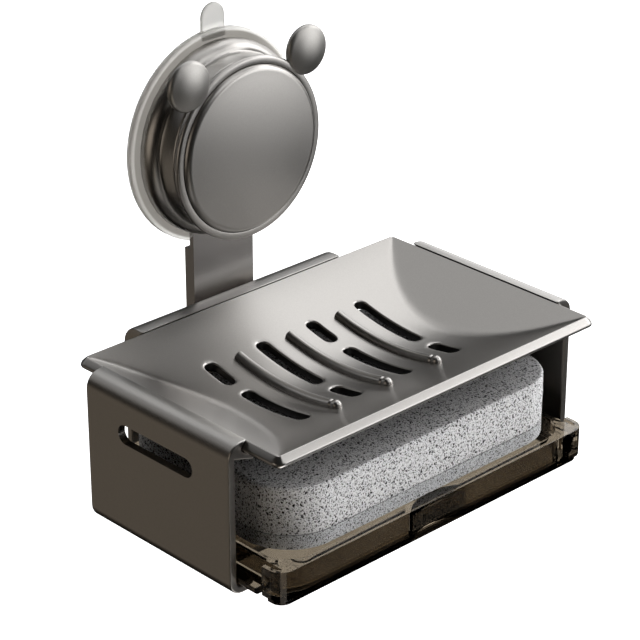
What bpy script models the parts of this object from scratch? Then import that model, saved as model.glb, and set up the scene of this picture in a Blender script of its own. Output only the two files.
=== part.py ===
"""Two-tier draining soap dish on a twist-lock suction mount.

The origin is the centre of the suction pad's flat wall face.
+X is to the right as the user sees it, +Y points into the wall and +Z is up.
All lengths are in metres. A height of a part of the suction mount is its
distance from the wall, so it is -Y in the world.
"""
import math

import bmesh
import bpy
from mathutils import Matrix, Vector

# Clearances and tolerances
SEAT_GAP = 0.0003
RUNNING_GAP = 0.0003
DRAWER_SIDE_GAP = 0.0005
MERGE_DISTANCE = 0.00001
OVERRUN = 0.001
ROUND_STEPS = 40
SMALL_ROUND_STEPS = 16
ARC_STEPS = 6
SMOOTH_ANGLE = math.radians(35.0)

# Suction pad
PAD_RADIUS = 0.0350
PAD_THICKNESS = 0.0023
PAD_LIP_ROUNDING = 0.0009
PAD_FLOOR = 0.0012
PAD_BOSS_WALL = 0.0022
PAD_BOSS_HEIGHT = 0.0042
TAB_WIDTH = 0.0093
TAB_REACH = 0.0086
TAB_ROOT = 0.0030
TAB_THICKNESS = 0.0014
TAB_BACK = 0.0003

# Draw stud and the hard disc that is moulded into the pad
CARRIER_RADIUS = 0.0120
CARRIER_TOP = 0.0052
CARRIER_CHAMFER = 0.0004
STUD_RADIUS = 0.00295
STUD_END = 0.0160
STUD_TIP_CHAMFER = 0.0005
STUD_FLANGE_RADIUS = 0.0070
STUD_FLANGE_THICKNESS = 0.0010
CARRIER_FLOOR = 0.0008

# Hanger strap
STRAP_WIDTH = 0.0254
STRAP_TONGUE_THICKNESS = 0.0018
STRAP_BACK = 0.0001
STRAP_EYE_RADIUS = 0.0220
STRAP_FOOT_RISE = 0.0089
STRAP_CORNER = 0.0030
STRAP_SCREW_RADIUS = 0.0010
STRAP_SCREW_CIRCLE = 0.0184
STRAP_SCREW_HEAD_RADIUS = 0.0021
STRAP_SCREW_HEAD_RISE = 0.0012
STRAP_SCREW_LENGTH = 0.0070
STRAP_SCREW_TIP = 0.0006
STRAP_SCREW_SINK = 0.0001

# Bell housing
HOUSING_FOOT_RADIUS = 0.0319
HOUSING_NECK_RADIUS = 0.0283
HOUSING_FOOT_GAP = 0.0004
HOUSING_FOOT_HEIGHT = 0.0012
HOUSING_SHOULDER_TOP = 0.0082
HOUSING_TOP = 0.0141
HOUSING_WALL = 0.0022
HOUSING_WEB = 0.0018
HOUSING_SLEEVE_WALL = 0.0023
HOUSING_RIB_WIDTH = 0.0014
HOUSING_RIB_COUNT = 6
HOUSING_RIB_DROP = 0.0024
HOUSING_RIB_START = math.radians(30.0)
HOUSING_BOSS_RADIUS = 0.0032
HOUSING_EDGE_CHAMFER = 0.0004

# Thrust washer
WASHER_THICKNESS = 0.0006
WASHER_RADIUS = 0.0160

# Twist knob
KNOB_LIP_RADIUS = 0.0298
KNOB_RING_FRONT = 0.0180
KNOB_LIP_ROUNDING = 0.0009
KNOB_LIP_DEPTH = 0.0008
KNOB_LIP_FLARE_HEIGHT = 0.0018
KNOB_RIM_WIDTH = 0.0024
KNOB_WEB = 0.0018
KNOB_JOURNAL_RADIUS = 0.0090
KNOB_JOURNAL_END = 0.0080
KNOB_HUB_RADIUS = 0.0082
KNOB_HUB_TOP = 0.0182
GRIP_RADIUS = 0.0081
GRIP_CIRCLE = 0.0360
GRIP_ANGLE = math.radians(42.5)
GRIP_BACK = 0.0160
GRIP_THICKNESS = 0.0040
GRIP_EDGE_ROUNDING = 0.0014
GRIP_CROWN = 0.0011
GRIP_CROWN_RINGS = 3
GRIP_EDGE_STEPS = 3
NUT_ACROSS_FLATS = 0.0100
NUT_BACK = 0.0123
NUT_LENGTH = 0.0056

# Knob cover
COVER_FACE = 0.0204
COVER_THICKNESS = 0.0016
COVER_SKIRT = 0.0016
COVER_ROUNDING = 0.0020
COVER_GROOVE = 0.0004

# Soap tray
TRAY_HALF_LENGTH = 0.0661
TRAY_HALF_WIDTH = 0.0433
TRAY_SAG = 0.0113
TRAY_THICKNESS = 0.0032
TRAY_FLARE = 0.0020
TRAY_LIP_ROUNDING = 0.0006
TRAY_EDGE_ROUNDING = 0.0012
RIM_UNDERSIDE_ANGLE = 62.0
TRAY_RAMP_RUN = 0.0226
TRAY_CREASE_SOFTNESS = 0.0018
TRAY_CORNER = 0.0010
TRAY_RIM_Z = -0.0507
TRAY_CELLS_X = 20
TRAY_CELLS_Y = 12
TRAY_CORNER_CELLS = 2
RIB_SPACING = 0.0216
RIB_REAR_REACH = 0.0232
RIB_FRONT_REACH = 0.0205
RIB_RADIUS = 0.0016
RIB_AXIS_LIFT = 0.0002
RIB_POINTS = 13
SLOT_WIDTH = 0.0052
SLOT_LONG = 0.0290
SLOT_SHORT = 0.0125
SLOT_LAND = 0.0045
SLOT_REAR_REACH = 0.0262

# Side panels and rear panel
PANEL_THICKNESS = 0.0026
DISH_HEIGHT = 0.0496
SIDE_ROLL = 0.0052
SIDE_ROLL_RISE = 0.0005
SIDE_FRONT_SETBACK = 0.0150
SIDE_REAR_SETBACK = 0.0111
BOTTOM_BEND = 0.0046
FLANGE_WIDTH = 0.0091
REAR_HALF_WIDTH = 0.0427
REAR_ROLL = 0.0065
REAR_FLAT = 0.0018
LIP_LENGTH = 0.0048
LIP_THICKNESS = 0.0015
PANEL_EDGE_ROUNDING = 0.0006
HAND_SLOT_LENGTH = 0.0337
HAND_SLOT_HEIGHT = 0.0064
HAND_SLOT_OFFSET = 0.0006
HAND_SLOT_DROP = 0.0137

# Screws that join the rear panel to the strap
HANGER_SCREW_RADIUS = 0.0015
HANGER_SCREW_HEAD_RADIUS = 0.0030
HANGER_SCREW_HEAD_HEIGHT = 0.0018
HANGER_SCREW_CROWN_SHARE = 0.65
HANGER_SCREW_DEPTH = 0.0030
HANGER_SCREW_DROPS = {"upper": 0.0150, "lower": 0.0290}

# Drip drawer
DECK_RISE = 0.0109
DRAWER_DROP = 0.0009
DRAWER_FRONT_SETBACK = 0.0008
DRAWER_FOOT_HEIGHT = 0.0020
DRAWER_FOOT_INSET = 0.0012
DRAWER_HEAD_INSET = 0.0066
DRAWER_HEAD_DEPTH = 0.0081
DRAWER_WING_WALL = 0.0016
DRAWER_CORNER = 0.0050
DRAWER_REAR_CORNER = 0.0040
DRAWER_REAR_SETBACK = 0.0026
DRAWER_FLOOR = 0.0020
RAIL_RISE = 0.0007
POCKET_WALL = 0.0018
POCKET_MARGIN = 0.0012
POCKET_CORNER = 0.0110
POCKET_BAR_WIDTH = 0.0024
POCKET_BAR_OFFSET = 0.0150
FINGER_ARC_RADIUS = 0.0180
FINGER_DEPTH = 0.0060
FINGER_FRONT_WALL = 0.0016
FINGER_WALL = 0.0018
FINGER_ROOF = 0.0020

# Sponge
SPONGE_SIDE_SETBACK = 0.0032
SPONGE_FRONT_SETBACK = 0.0048
SPONGE_REAR_SETBACK = 0.0095
SPONGE_CORNER = 0.0176
SPONGE_TOP_GAP = 0.0033
SPONGE_LAYER = 0.0046
SPONGE_EDGE_ROUNDING = 0.0012

# Sizes that follow from the ones above
PAD_POCKET_RADIUS = CARRIER_RADIUS + SEAT_GAP
PAD_BOSS_RADIUS = PAD_POCKET_RADIUS + PAD_BOSS_WALL
CARRIER_BACK = PAD_FLOOR + SEAT_GAP
STUD_FLANGE_BACK = CARRIER_BACK + CARRIER_FLOOR + SEAT_GAP
STUD_FLANGE_TOP = STUD_FLANGE_BACK + STUD_FLANGE_THICKNESS
STRAP_TONGUE_BACK = PAD_THICKNESS + SEAT_GAP
STRAP_FRONT = STRAP_TONGUE_BACK + STRAP_TONGUE_THICKNESS
STRAP_HOLE_RADIUS = PAD_BOSS_RADIUS + RUNNING_GAP
HOUSING_FOOT = PAD_THICKNESS + HOUSING_FOOT_GAP
WASHER_BACK = HOUSING_TOP - WASHER_THICKNESS
HOUSING_WEB_TOP = WASHER_BACK - SEAT_GAP
HOUSING_WEB_BACK = HOUSING_WEB_TOP - HOUSING_WEB
HOUSING_NECK_INNER = HOUSING_NECK_RADIUS - HOUSING_WALL
SLEEVE_RADIUS = KNOB_JOURNAL_RADIUS + RUNNING_GAP
SLEEVE_OUTER_RADIUS = SLEEVE_RADIUS + HOUSING_SLEEVE_WALL
KNOB_BACK = HOUSING_TOP + SEAT_GAP
KNOB_WEB_TOP = KNOB_BACK + KNOB_WEB
KNOB_RECESS_RADIUS = KNOB_LIP_RADIUS - KNOB_RIM_WIDTH
KNOB_BORE_RADIUS = STUD_RADIUS + RUNNING_GAP
COVER_RADIUS = KNOB_RECESS_RADIUS - COVER_GROOVE
COVER_SKIRT_END = KNOB_WEB_TOP + SEAT_GAP
TROUGH_RADIUS = (TRAY_HALF_WIDTH ** 2 + TRAY_SAG ** 2) / (2.0 * TRAY_SAG)
TRAY_OUTER_X = TRAY_HALF_LENGTH + TRAY_FLARE
TRAY_OUTER_Y = TRAY_HALF_WIDTH + TRAY_FLARE
RIM_ARC_DROP = TRAY_THICKNESS - TRAY_EDGE_ROUNDING * math.sin(math.radians(RIM_UNDERSIDE_ANGLE))
RIM_ARC_OUTSET = TRAY_FLARE - TRAY_EDGE_ROUNDING
UNDERSIDE_OUTSET = RIM_ARC_OUTSET + TRAY_EDGE_ROUNDING * math.cos(math.radians(RIM_UNDERSIDE_ANGLE))
RAMP_RISE = TRAY_SAG / TRAY_RAMP_RUN
EDGE_RISE = TRAY_HALF_WIDTH / math.sqrt(TROUGH_RADIUS ** 2 - TRAY_HALF_WIDTH ** 2)
RAMP_SLOPE_BELOW = math.atan(RAMP_RISE * TRAY_HALF_LENGTH / (TRAY_HALF_LENGTH + UNDERSIDE_OUTSET))
EDGE_SLOPE_BELOW = math.atan(EDGE_RISE * TRAY_HALF_WIDTH / (TRAY_HALF_WIDTH + UNDERSIDE_OUTSET))
REAR_OUTER_Y = -(STRAP_FRONT + SEAT_GAP)
REAR_INNER_Y = REAR_OUTER_Y - PANEL_THICKNESS
REAR_SEAM_Y = REAR_OUTER_Y - REAR_ROLL - REAR_FLAT
TRAY_REAR_Y = REAR_SEAM_Y - SEAT_GAP
TRAY_CENTRE_Y = TRAY_REAR_Y - TRAY_OUTER_Y
TRAY_FRONT_Y = TRAY_CENTRE_Y - TRAY_OUTER_Y
SIDE_SEAM_X = TRAY_OUTER_X + SEAT_GAP
PANEL_OUTER_X = SIDE_SEAM_X + SIDE_ROLL
PANEL_INNER_X = PANEL_OUTER_X - PANEL_THICKNESS
PANEL_BOTTOM_Z = TRAY_RIM_Z - DISH_HEIGHT
SIDE_FRONT_Y = TRAY_FRONT_Y + SIDE_FRONT_SETBACK
SIDE_REAR_Y = TRAY_REAR_Y - SIDE_REAR_SETBACK
HAND_SLOT_Y = (SIDE_FRONT_Y + SIDE_REAR_Y) / 2.0 + HAND_SLOT_OFFSET
HAND_SLOT_Z = TRAY_RIM_Z - HAND_SLOT_DROP
STRAP_BOTTOM = PANEL_BOTTOM_Z + STRAP_FOOT_RISE
HANGER_SCREW_ZS = {level: TRAY_RIM_Z - drop for level, drop in HANGER_SCREW_DROPS.items()}
FLANGE_END_X = PANEL_OUTER_X - FLANGE_WIDTH
FLANGE_TOP_Z = PANEL_BOTTOM_Z + PANEL_THICKNESS
TUB_HALF_WIDTH = FLANGE_END_X - DRAWER_SIDE_GAP
DRAWER_TOP_Z = PANEL_BOTTOM_Z + DECK_RISE
DRAWER_BOTTOM_Z = PANEL_BOTTOM_Z - DRAWER_DROP
DRAWER_FOOT_Z = DRAWER_BOTTOM_Z + DRAWER_FOOT_HEIGHT
DRAWER_REAR_Y = REAR_INNER_Y - SEAT_GAP - HANGER_SCREW_HEAD_HEIGHT - DRAWER_REAR_SETBACK
HEAD_HALF_WIDTH = PANEL_OUTER_X - DRAWER_HEAD_INSET
DRAWER_FRONT_Y = TRAY_FRONT_Y + DRAWER_FRONT_SETBACK
HEAD_REAR_Y = DRAWER_FRONT_Y + DRAWER_HEAD_DEPTH
SPONGE_HALF_LENGTH = TUB_HALF_WIDTH - SPONGE_SIDE_SETBACK
SPONGE_FRONT_Y = TRAY_FRONT_Y + SPONGE_FRONT_SETBACK
SPONGE_REAR_Y = DRAWER_REAR_Y - SPONGE_REAR_SETBACK
SPONGE_CENTRE_Y = (SPONGE_FRONT_Y + SPONGE_REAR_Y) / 2.0
POCKET_HALF_LENGTH = TUB_HALF_WIDTH - POCKET_WALL
POCKET_FRONT_Y = SPONGE_FRONT_Y - POCKET_MARGIN
POCKET_REAR_Y = SPONGE_REAR_Y + POCKET_MARGIN
POCKET_FLOOR_Z = DRAWER_BOTTOM_Z + DRAWER_FLOOR
FINGER_ARC_Y = DRAWER_FRONT_Y + FINGER_DEPTH - FINGER_ARC_RADIUS
SPONGE_BOTTOM_Z = DRAWER_TOP_Z + SEAT_GAP
SPONGE_SEAM_Z = SPONGE_BOTTOM_Z + SPONGE_LAYER
SPONGE_TOP_Z = TRAY_RIM_Z - TRAY_SAG - TRAY_THICKNESS - SPONGE_TOP_GAP

# Planes in which flat outlines are drawn, as rotations of the local axes
PLAN_VIEW = Matrix.Identity(3)
FRONT_VIEW = Matrix(((1, 0, 0), (0, 0, -1), (0, 1, 0)))
SIDE_VIEW = Matrix(((0, 0, 1), (1, 0, 0), (0, 1, 0)))
WALL_AXIS = Matrix.Rotation(math.pi / 2.0, 4, "X")


def clear_scene():
    """Remove every object of the open file."""
    for item in list(bpy.data.objects):
        bpy.data.objects.remove(item, do_unlink=True)


def new_collection(name):
    """Make a collection and hang it in the scene."""
    collection = bpy.data.collections.new(name)
    bpy.context.scene.collection.children.link(collection)
    return collection


clear_scene()
PARTS = new_collection("draining_soap_dish")
CUTTERS = new_collection("cutters_and_guides")


def principled(name, color, roughness, metallic=0.0, alpha=1.0):
    """A plain Principled material."""
    material = bpy.data.materials.new(name)
    material.use_nodes = True
    shader = material.node_tree.nodes["Principled BSDF"]
    shader.inputs["Base Color"].default_value = (*color, 1.0)
    shader.inputs["Roughness"].default_value = roughness
    shader.inputs["Metallic"].default_value = metallic
    shader.inputs["Alpha"].default_value = alpha
    return material


def part_from_mesh(name, mesh, matrix=None, collection=None):
    """Wrap a mesh in an object of the parts collection, or of another."""
    item = bpy.data.objects.new(name, mesh)
    (collection or PARTS).objects.link(item)
    if matrix is not None:
        item.matrix_world = matrix
    return item


def as_guide(item):
    """Mark an object as a cutter or a guide."""
    item.hide_render = True
    item.display_type = "WIRE"
    return item


def smooth(item):
    """Shade a round piece smooth, with its real edges kept sharp."""
    item.data.shade_smooth()
    item.data.set_sharp_from_angle(angle=SMOOTH_ANGLE)
    return item


def mesh_of(item):
    """The evaluated mesh of an object, welded, with its normals out."""
    bpy.context.view_layer.update()
    depsgraph = bpy.context.evaluated_depsgraph_get()
    mesh = bpy.data.meshes.new_from_object(item.evaluated_get(depsgraph))
    shape = bmesh.new()
    shape.from_mesh(mesh)
    bmesh.ops.remove_doubles(shape, verts=shape.verts, dist=MERGE_DISTANCE)
    bmesh.ops.recalc_face_normals(shape, faces=shape.faces)
    shape.to_mesh(mesh)
    shape.free()
    return mesh


def turned(name, profile, matrix=WALL_AXIS, steps=ROUND_STEPS, guide=False):
    """Turn a profile of (radius, height) points about the local Z axis."""
    wire = bpy.data.meshes.new(name + "_profile")
    points = [(radius, 0.0, height) for radius, height in profile]
    edges = [(i, i + 1) for i in range(len(points) - 1)]
    if profile[0][0] > 0.0:
        edges.append((len(points) - 1, 0))
    wire.from_pydata(points, edges, [])
    item = part_from_mesh(name, wire, matrix, CUTTERS if guide else PARTS)
    screw = item.modifiers.new("turn", "SCREW")
    screw.steps = steps
    screw.render_steps = steps
    screw.use_merge_vertices = True
    screw.merge_threshold = MERGE_DISTANCE
    item.data = mesh_of(item)
    item.modifiers.clear()
    bpy.data.meshes.remove(wire)
    smooth(item)
    return as_guide(item) if guide else item


def plate(name, outline, low, high, view=PLAN_VIEW, guide=False):
    """A flat outline, filled and extruded from low to high along its normal."""
    curve = bpy.data.curves.new(name + "_outline", "CURVE")
    curve.dimensions = "2D"
    curve.fill_mode = "BOTH"
    curve.extrude = (high - low) / 2.0
    spline = curve.splines.new("POLY")
    spline.points.add(len(outline) - 1)
    spline.use_cyclic_u = True
    for point, (u, v) in zip(spline.points, outline):
        point.co = (u, v, 0.0, 1.0)
    middle = view @ Vector((0.0, 0.0, (low + high) / 2.0))
    matrix = Matrix.Translation(middle) @ view.to_4x4()
    drawing = part_from_mesh(name + "_drawing", curve, matrix, CUTTERS)
    mesh = mesh_of(drawing)
    bpy.data.objects.remove(drawing, do_unlink=True)
    bpy.data.curves.remove(curve)
    shape = bmesh.new()
    shape.from_mesh(mesh)
    bmesh.ops.dissolve_limit(shape, angle_limit=math.radians(1.0), verts=shape.verts, edges=shape.edges)
    shape.to_mesh(mesh)
    shape.free()
    item = part_from_mesh(name, mesh, matrix, CUTTERS if guide else PARTS)
    return as_guide(item) if guide else item


def drum(name, radius, low, high, x=0.0, y=0.0, steps=SMALL_ROUND_STEPS, matrix=WALL_AXIS, guide=True):
    """A cylinder, or a prism of few steps, between two heights."""
    shape = bmesh.new()
    placed = Matrix.Translation((x, y, (low + high) / 2.0))
    bmesh.ops.create_cone(
        shape, cap_ends=True, segments=steps, radius1=radius, radius2=radius, depth=high - low, matrix=placed
    )
    mesh = bpy.data.meshes.new(name)
    shape.to_mesh(mesh)
    shape.free()
    item = part_from_mesh(name, mesh, matrix, CUTTERS if guide else PARTS)
    return as_guide(item) if guide else item


def block(name, low, high, guide=True):
    """A box between two corners."""
    shape = bmesh.new()
    size = [b - a for a, b in zip(low, high)]
    centre = [(a + b) / 2.0 for a, b in zip(low, high)]
    matrix = Matrix.Translation(centre) @ Matrix.Diagonal((*size, 1.0))
    bmesh.ops.create_cube(shape, size=1.0, matrix=matrix)
    mesh = bpy.data.meshes.new(name)
    shape.to_mesh(mesh)
    shape.free()
    item = part_from_mesh(name, mesh, None, CUTTERS if guide else PARTS)
    return as_guide(item) if guide else item


def boolean(item, other, operation):
    """Cut, join or intersect with another object."""
    modifier = item.modifiers.new(other.name, "BOOLEAN")
    modifier.operation = operation
    modifier.solver = "EXACT"
    modifier.object = other
    return item


def cut(item, *others):
    """Take the others out of the item."""
    for other in others:
        boolean(item, other, "DIFFERENCE")


def join(item, *others):
    """Add the others to the item."""
    for other in others:
        boolean(item, other, "UNION")


def round_edges(item, width, segments=2, limit=math.radians(50.0)):
    """Round the sharp edges of a piece."""
    bevel = item.modifiers.new("rounded_edges", "BEVEL")
    bevel.width = width
    bevel.segments = segments
    bevel.limit_method = "ANGLE"
    bevel.angle_limit = limit
    bevel.use_clamp_overlap = True


def paint(material, *items):
    """Give a material to pieces."""
    for item in items:
        item.data.materials.clear()
        item.data.materials.append(material)


def arc(centre, radius, start, end, steps=ARC_STEPS):
    """Points along an arc, with its angles in degrees."""
    points = []
    for i in range(steps + 1):
        angle = math.radians(start + (end - start) * i / steps)
        points.append((centre[0] + radius * math.cos(angle), centre[1] + radius * math.sin(angle)))
    return points


def rounded_rectangle(left, right, bottom, top, radii, steps=ARC_STEPS):
    """An outline with a radius for each corner, from bottom left, anticlockwise."""
    corners = (
        (left, bottom, 1, 1, 180), (right, bottom, -1, 1, 270),
        (right, top, -1, -1, 0), (left, top, 1, -1, 90),
    )
    points = []
    for (x, y, inward_x, inward_y, start), radius in zip(corners, radii):
        centre = (x + inward_x * radius, y + inward_y * radius)
        points.extend(arc(centre, radius, start, start + 90, steps))
    return points


def obround(centre_u, centre_v, length, width, steps=ARC_STEPS):
    """A slot outline, long in its second direction."""
    run = (length - width) / 2.0
    points = arc((centre_u, centre_v + run), width / 2.0, 0, 180, steps)
    points += arc((centre_u, centre_v - run), width / 2.0, 180, 360, steps)
    return points


def soap_surface(x, y):
    """Height of the tray's upper face above its rim plane."""
    trough_drop = math.sqrt(TROUGH_RADIUS ** 2 - min(abs(y), TRAY_HALF_WIDTH) ** 2)
    trough = TROUGH_RADIUS - TRAY_SAG - trough_drop
    ramp = (min(abs(x), TRAY_HALF_LENGTH) - TRAY_HALF_LENGTH) * RAMP_RISE
    higher = max(trough, ramp)
    softness = TRAY_CREASE_SOFTNESS * math.sqrt(max(-higher, 0.0) / TRAY_SAG)
    return (trough + ramp + math.sqrt((trough - ramp) ** 2 + softness ** 2)) / 2.0


def make_suction_pad():
    """Silicone pad with a flat wall face, a boss for the hard disc and a pull tab."""
    lip = arc((PAD_RADIUS - PAD_LIP_ROUNDING, PAD_THICKNESS - PAD_LIP_ROUNDING), PAD_LIP_ROUNDING, 90, 0)
    profile = [
        (0.0, PAD_FLOOR),
        (PAD_POCKET_RADIUS, PAD_FLOOR),
        (PAD_POCKET_RADIUS, PAD_BOSS_HEIGHT),
        (PAD_BOSS_RADIUS, PAD_BOSS_HEIGHT),
        (PAD_BOSS_RADIUS, PAD_THICKNESS),
        *lip,
        (PAD_RADIUS, 0.0),
        (0.0, 0.0),
    ]
    pad = turned("suction_pad", profile)
    tip = PAD_RADIUS + TAB_REACH
    root = PAD_RADIUS - TAB_ROOT
    outline = arc((0.0, tip - TAB_WIDTH / 2.0), TAB_WIDTH / 2.0, 0, 180, 2 * ARC_STEPS)
    outline += [(-TAB_WIDTH / 2.0, root), (TAB_WIDTH / 2.0, root)]
    tab = plate("pull_tab", outline, TAB_BACK, TAB_BACK + TAB_THICKNESS, FRONT_VIEW, guide=True)
    join(pad, tab)
    return pad


def make_stud_carrier():
    """Hard disc that fills the pad's boss and holds the stud's flange."""
    cavity_radius = STUD_FLANGE_RADIUS + SEAT_GAP
    cavity_floor = CARRIER_BACK + CARRIER_FLOOR
    cavity_roof = STUD_FLANGE_TOP + SEAT_GAP
    neck = STUD_RADIUS + SEAT_GAP
    return turned("stud_carrier", [
        (0.0, cavity_floor),
        (cavity_radius, cavity_floor),
        (cavity_radius, cavity_roof),
        (neck, cavity_roof),
        (neck, CARRIER_TOP),
        (CARRIER_RADIUS - CARRIER_CHAMFER, CARRIER_TOP),
        (CARRIER_RADIUS, CARRIER_TOP - CARRIER_CHAMFER),
        (CARRIER_RADIUS, CARRIER_BACK),
        (0.0, CARRIER_BACK),
    ])


def make_draw_stud():
    """Flanged stud that the knob's nut pulls away from the wall."""
    return turned("draw_stud", [
        (0.0, STUD_END),
        (STUD_RADIUS - STUD_TIP_CHAMFER, STUD_END),
        (STUD_RADIUS, STUD_END - STUD_TIP_CHAMFER),
        (STUD_RADIUS, STUD_FLANGE_TOP),
        (STUD_FLANGE_RADIUS, STUD_FLANGE_TOP),
        (STUD_FLANGE_RADIUS, STUD_FLANGE_BACK),
        (0.0, STUD_FLANGE_BACK),
    ], steps=SMALL_ROUND_STEPS)


def strap_screw_places():
    """The two screws of the strap's eye, by side."""
    return {"left": -STRAP_SCREW_CIRCLE, "right": STRAP_SCREW_CIRCLE}


def screw_axis(x, z):
    """Placement of a piece that is turned about a line square to the wall."""
    return Matrix.Translation((x, 0.0, z)) @ WALL_AXIS


def make_hanger_strap():
    """Strap with an eye round the pad's boss and a thick leg against the wall."""
    half = STRAP_WIDTH / 2.0
    meet = math.degrees(math.asin(half / STRAP_EYE_RADIUS))
    outline = arc((0.0, 0.0), STRAP_EYE_RADIUS, meet - 90, 270 - meet, 6 * ARC_STEPS)
    outline += arc((-half + STRAP_CORNER, STRAP_BOTTOM + STRAP_CORNER), STRAP_CORNER, 180, 270)
    outline += arc((half - STRAP_CORNER, STRAP_BOTTOM + STRAP_CORNER), STRAP_CORNER, 270, 360)
    strap = plate("hanger_strap", outline, STRAP_BACK, STRAP_FRONT, FRONT_VIEW)
    reach = STRAP_EYE_RADIUS + OVERRUN
    pad_clearance = block(
        "strap_back_cut",
        (-reach, -STRAP_TONGUE_BACK, -(PAD_RADIUS + SEAT_GAP)),
        (reach, OVERRUN, reach),
    )
    cut(strap, pad_clearance)
    cut(strap, drum("strap_eye_cut", STRAP_HOLE_RADIUS, -OVERRUN, STRAP_FRONT + OVERRUN, steps=ROUND_STEPS))
    for side, x in strap_screw_places().items():
        cut(strap, strap_screw_cutter("countersink_" + side, x))
    for level, z in HANGER_SCREW_ZS.items():
        cut(strap, hanger_screw_cutter("strap_pilot_" + level, z))
    return strap


def strap_screw_cutter(name, x):
    """Countersunk hole in the strap's eye."""
    shank = STRAP_SCREW_RADIUS + SEAT_GAP
    head = STRAP_SCREW_HEAD_RADIUS + SEAT_GAP
    base = STRAP_TONGUE_BACK + STRAP_SCREW_SINK
    return turned(name, [
        (0.0, STRAP_FRONT + OVERRUN),
        (shank, STRAP_FRONT + OVERRUN),
        (shank, base + STRAP_SCREW_HEAD_RISE + SEAT_GAP),
        (head, base + SEAT_GAP),
        (head, STRAP_TONGUE_BACK - OVERRUN),
        (0.0, STRAP_TONGUE_BACK - OVERRUN),
    ], screw_axis(x, 0.0), SMALL_ROUND_STEPS, guide=True)


def hanger_screw_cutter(name, z):
    """Hole for a hanger screw, through the rear panel and into the strap."""
    depth = STRAP_FRONT - HANGER_SCREW_DEPTH - SEAT_GAP
    cutter = drum(name, HANGER_SCREW_RADIUS + SEAT_GAP, depth, -REAR_INNER_Y + OVERRUN)
    cutter.matrix_world = screw_axis(0.0, z)
    return cutter


def make_strap_screws():
    """Countersunk screws that hold the strap's eye to the housing."""
    base = STRAP_TONGUE_BACK + STRAP_SCREW_SINK
    tip = base + STRAP_SCREW_LENGTH
    screws = []
    for side, x in strap_screw_places().items():
        screws.append(turned("strap_screw_" + side, [
            (0.0, tip),
            (STRAP_SCREW_RADIUS - STRAP_SCREW_TIP, tip),
            (STRAP_SCREW_RADIUS, tip - STRAP_SCREW_TIP),
            (STRAP_SCREW_RADIUS, base + STRAP_SCREW_HEAD_RISE),
            (STRAP_SCREW_HEAD_RADIUS, base),
            (0.0, base),
        ], screw_axis(x, 0.0), SMALL_ROUND_STEPS))
    return screws


def housing_shell():
    """The bell's turned body: a round shoulder on the pad's rim, a neck, a web and a bearing sleeve."""
    foot_top = HOUSING_FOOT + HOUSING_FOOT_HEIGHT
    drop = HOUSING_SHOULDER_TOP - foot_top
    step = HOUSING_FOOT_RADIUS - HOUSING_NECK_RADIUS
    shoulder = []
    inner_shoulder = []
    for i in range(ARC_STEPS + 1):
        angle = math.pi / 2.0 * (1.0 - i / ARC_STEPS)
        radius = HOUSING_NECK_RADIUS + step * math.cos(angle)
        shoulder.append((radius, foot_top + drop * math.sin(angle)))
        if i % 2 == 0:
            inner_height = foot_top + (drop - HOUSING_WALL) * math.sin(angle)
            inner_shoulder.append((radius - HOUSING_WALL, inner_height))
    return turned("mount_housing", [
        (HOUSING_NECK_RADIUS - HOUSING_EDGE_CHAMFER, HOUSING_TOP),
        (HOUSING_NECK_RADIUS, HOUSING_TOP - HOUSING_EDGE_CHAMFER),
        *shoulder,
        (HOUSING_FOOT_RADIUS, HOUSING_FOOT),
        (HOUSING_FOOT_RADIUS - HOUSING_WALL, HOUSING_FOOT),
        *reversed(inner_shoulder),
        (HOUSING_NECK_INNER, HOUSING_WEB_BACK),
        (SLEEVE_OUTER_RADIUS, HOUSING_WEB_BACK),
        (SLEEVE_OUTER_RADIUS, KNOB_JOURNAL_END),
        (SLEEVE_RADIUS, KNOB_JOURNAL_END),
        (SLEEVE_RADIUS, HOUSING_WEB_TOP),
        (HOUSING_NECK_INNER, HOUSING_WEB_TOP),
        (HOUSING_NECK_INNER, HOUSING_TOP),
    ])


def housing_ribs():
    """Ribs between the bearing sleeve and the neck, below the web."""
    inner = SLEEVE_OUTER_RADIUS - HOUSING_SLEEVE_WALL / 2.0
    outer = HOUSING_NECK_INNER + HOUSING_WALL / 2.0
    ribs = []
    for i in range(HOUSING_RIB_COUNT):
        rib = block(
            "housing_rib_%d" % i,
            (inner, -(HOUSING_WEB_BACK + HOUSING_WEB / 2.0), -HOUSING_RIB_WIDTH / 2.0),
            (outer, -(HOUSING_WEB_BACK - HOUSING_RIB_DROP), HOUSING_RIB_WIDTH / 2.0),
        )
        rib.matrix_world = Matrix.Rotation(HOUSING_RIB_START + 2.0 * math.pi * i / HOUSING_RIB_COUNT, 4, "Y")
        ribs.append(rib)
    return ribs


def make_mount_housing():
    """Bell housing with its ribs, screw bosses and a notch for the strap."""
    housing = housing_shell()
    join(housing, *housing_ribs())
    boss_end = STRAP_FRONT + SEAT_GAP
    pilot_end = STRAP_TONGUE_BACK + STRAP_SCREW_SINK + STRAP_SCREW_LENGTH + SEAT_GAP
    for side, x in strap_screw_places().items():
        boss = drum("screw_boss_" + side, HOUSING_BOSS_RADIUS, boss_end, HOUSING_WEB_BACK + HOUSING_WEB / 2.0)
        boss.matrix_world = screw_axis(x, 0.0)
        join(housing, boss)
        pilot = drum("screw_pilot_" + side, STRAP_SCREW_RADIUS + SEAT_GAP, boss_end - OVERRUN, pilot_end)
        pilot.matrix_world = screw_axis(x, 0.0)
        cut(housing, pilot)
    half = STRAP_WIDTH / 2.0 + SEAT_GAP
    notch = block(
        "strap_notch",
        (-half, -(STRAP_FRONT + SEAT_GAP), -(HOUSING_FOOT_RADIUS + OVERRUN)),
        (half, -(HOUSING_FOOT - OVERRUN), -STRAP_EYE_RADIUS),
    )
    cut(housing, notch)
    return housing


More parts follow.
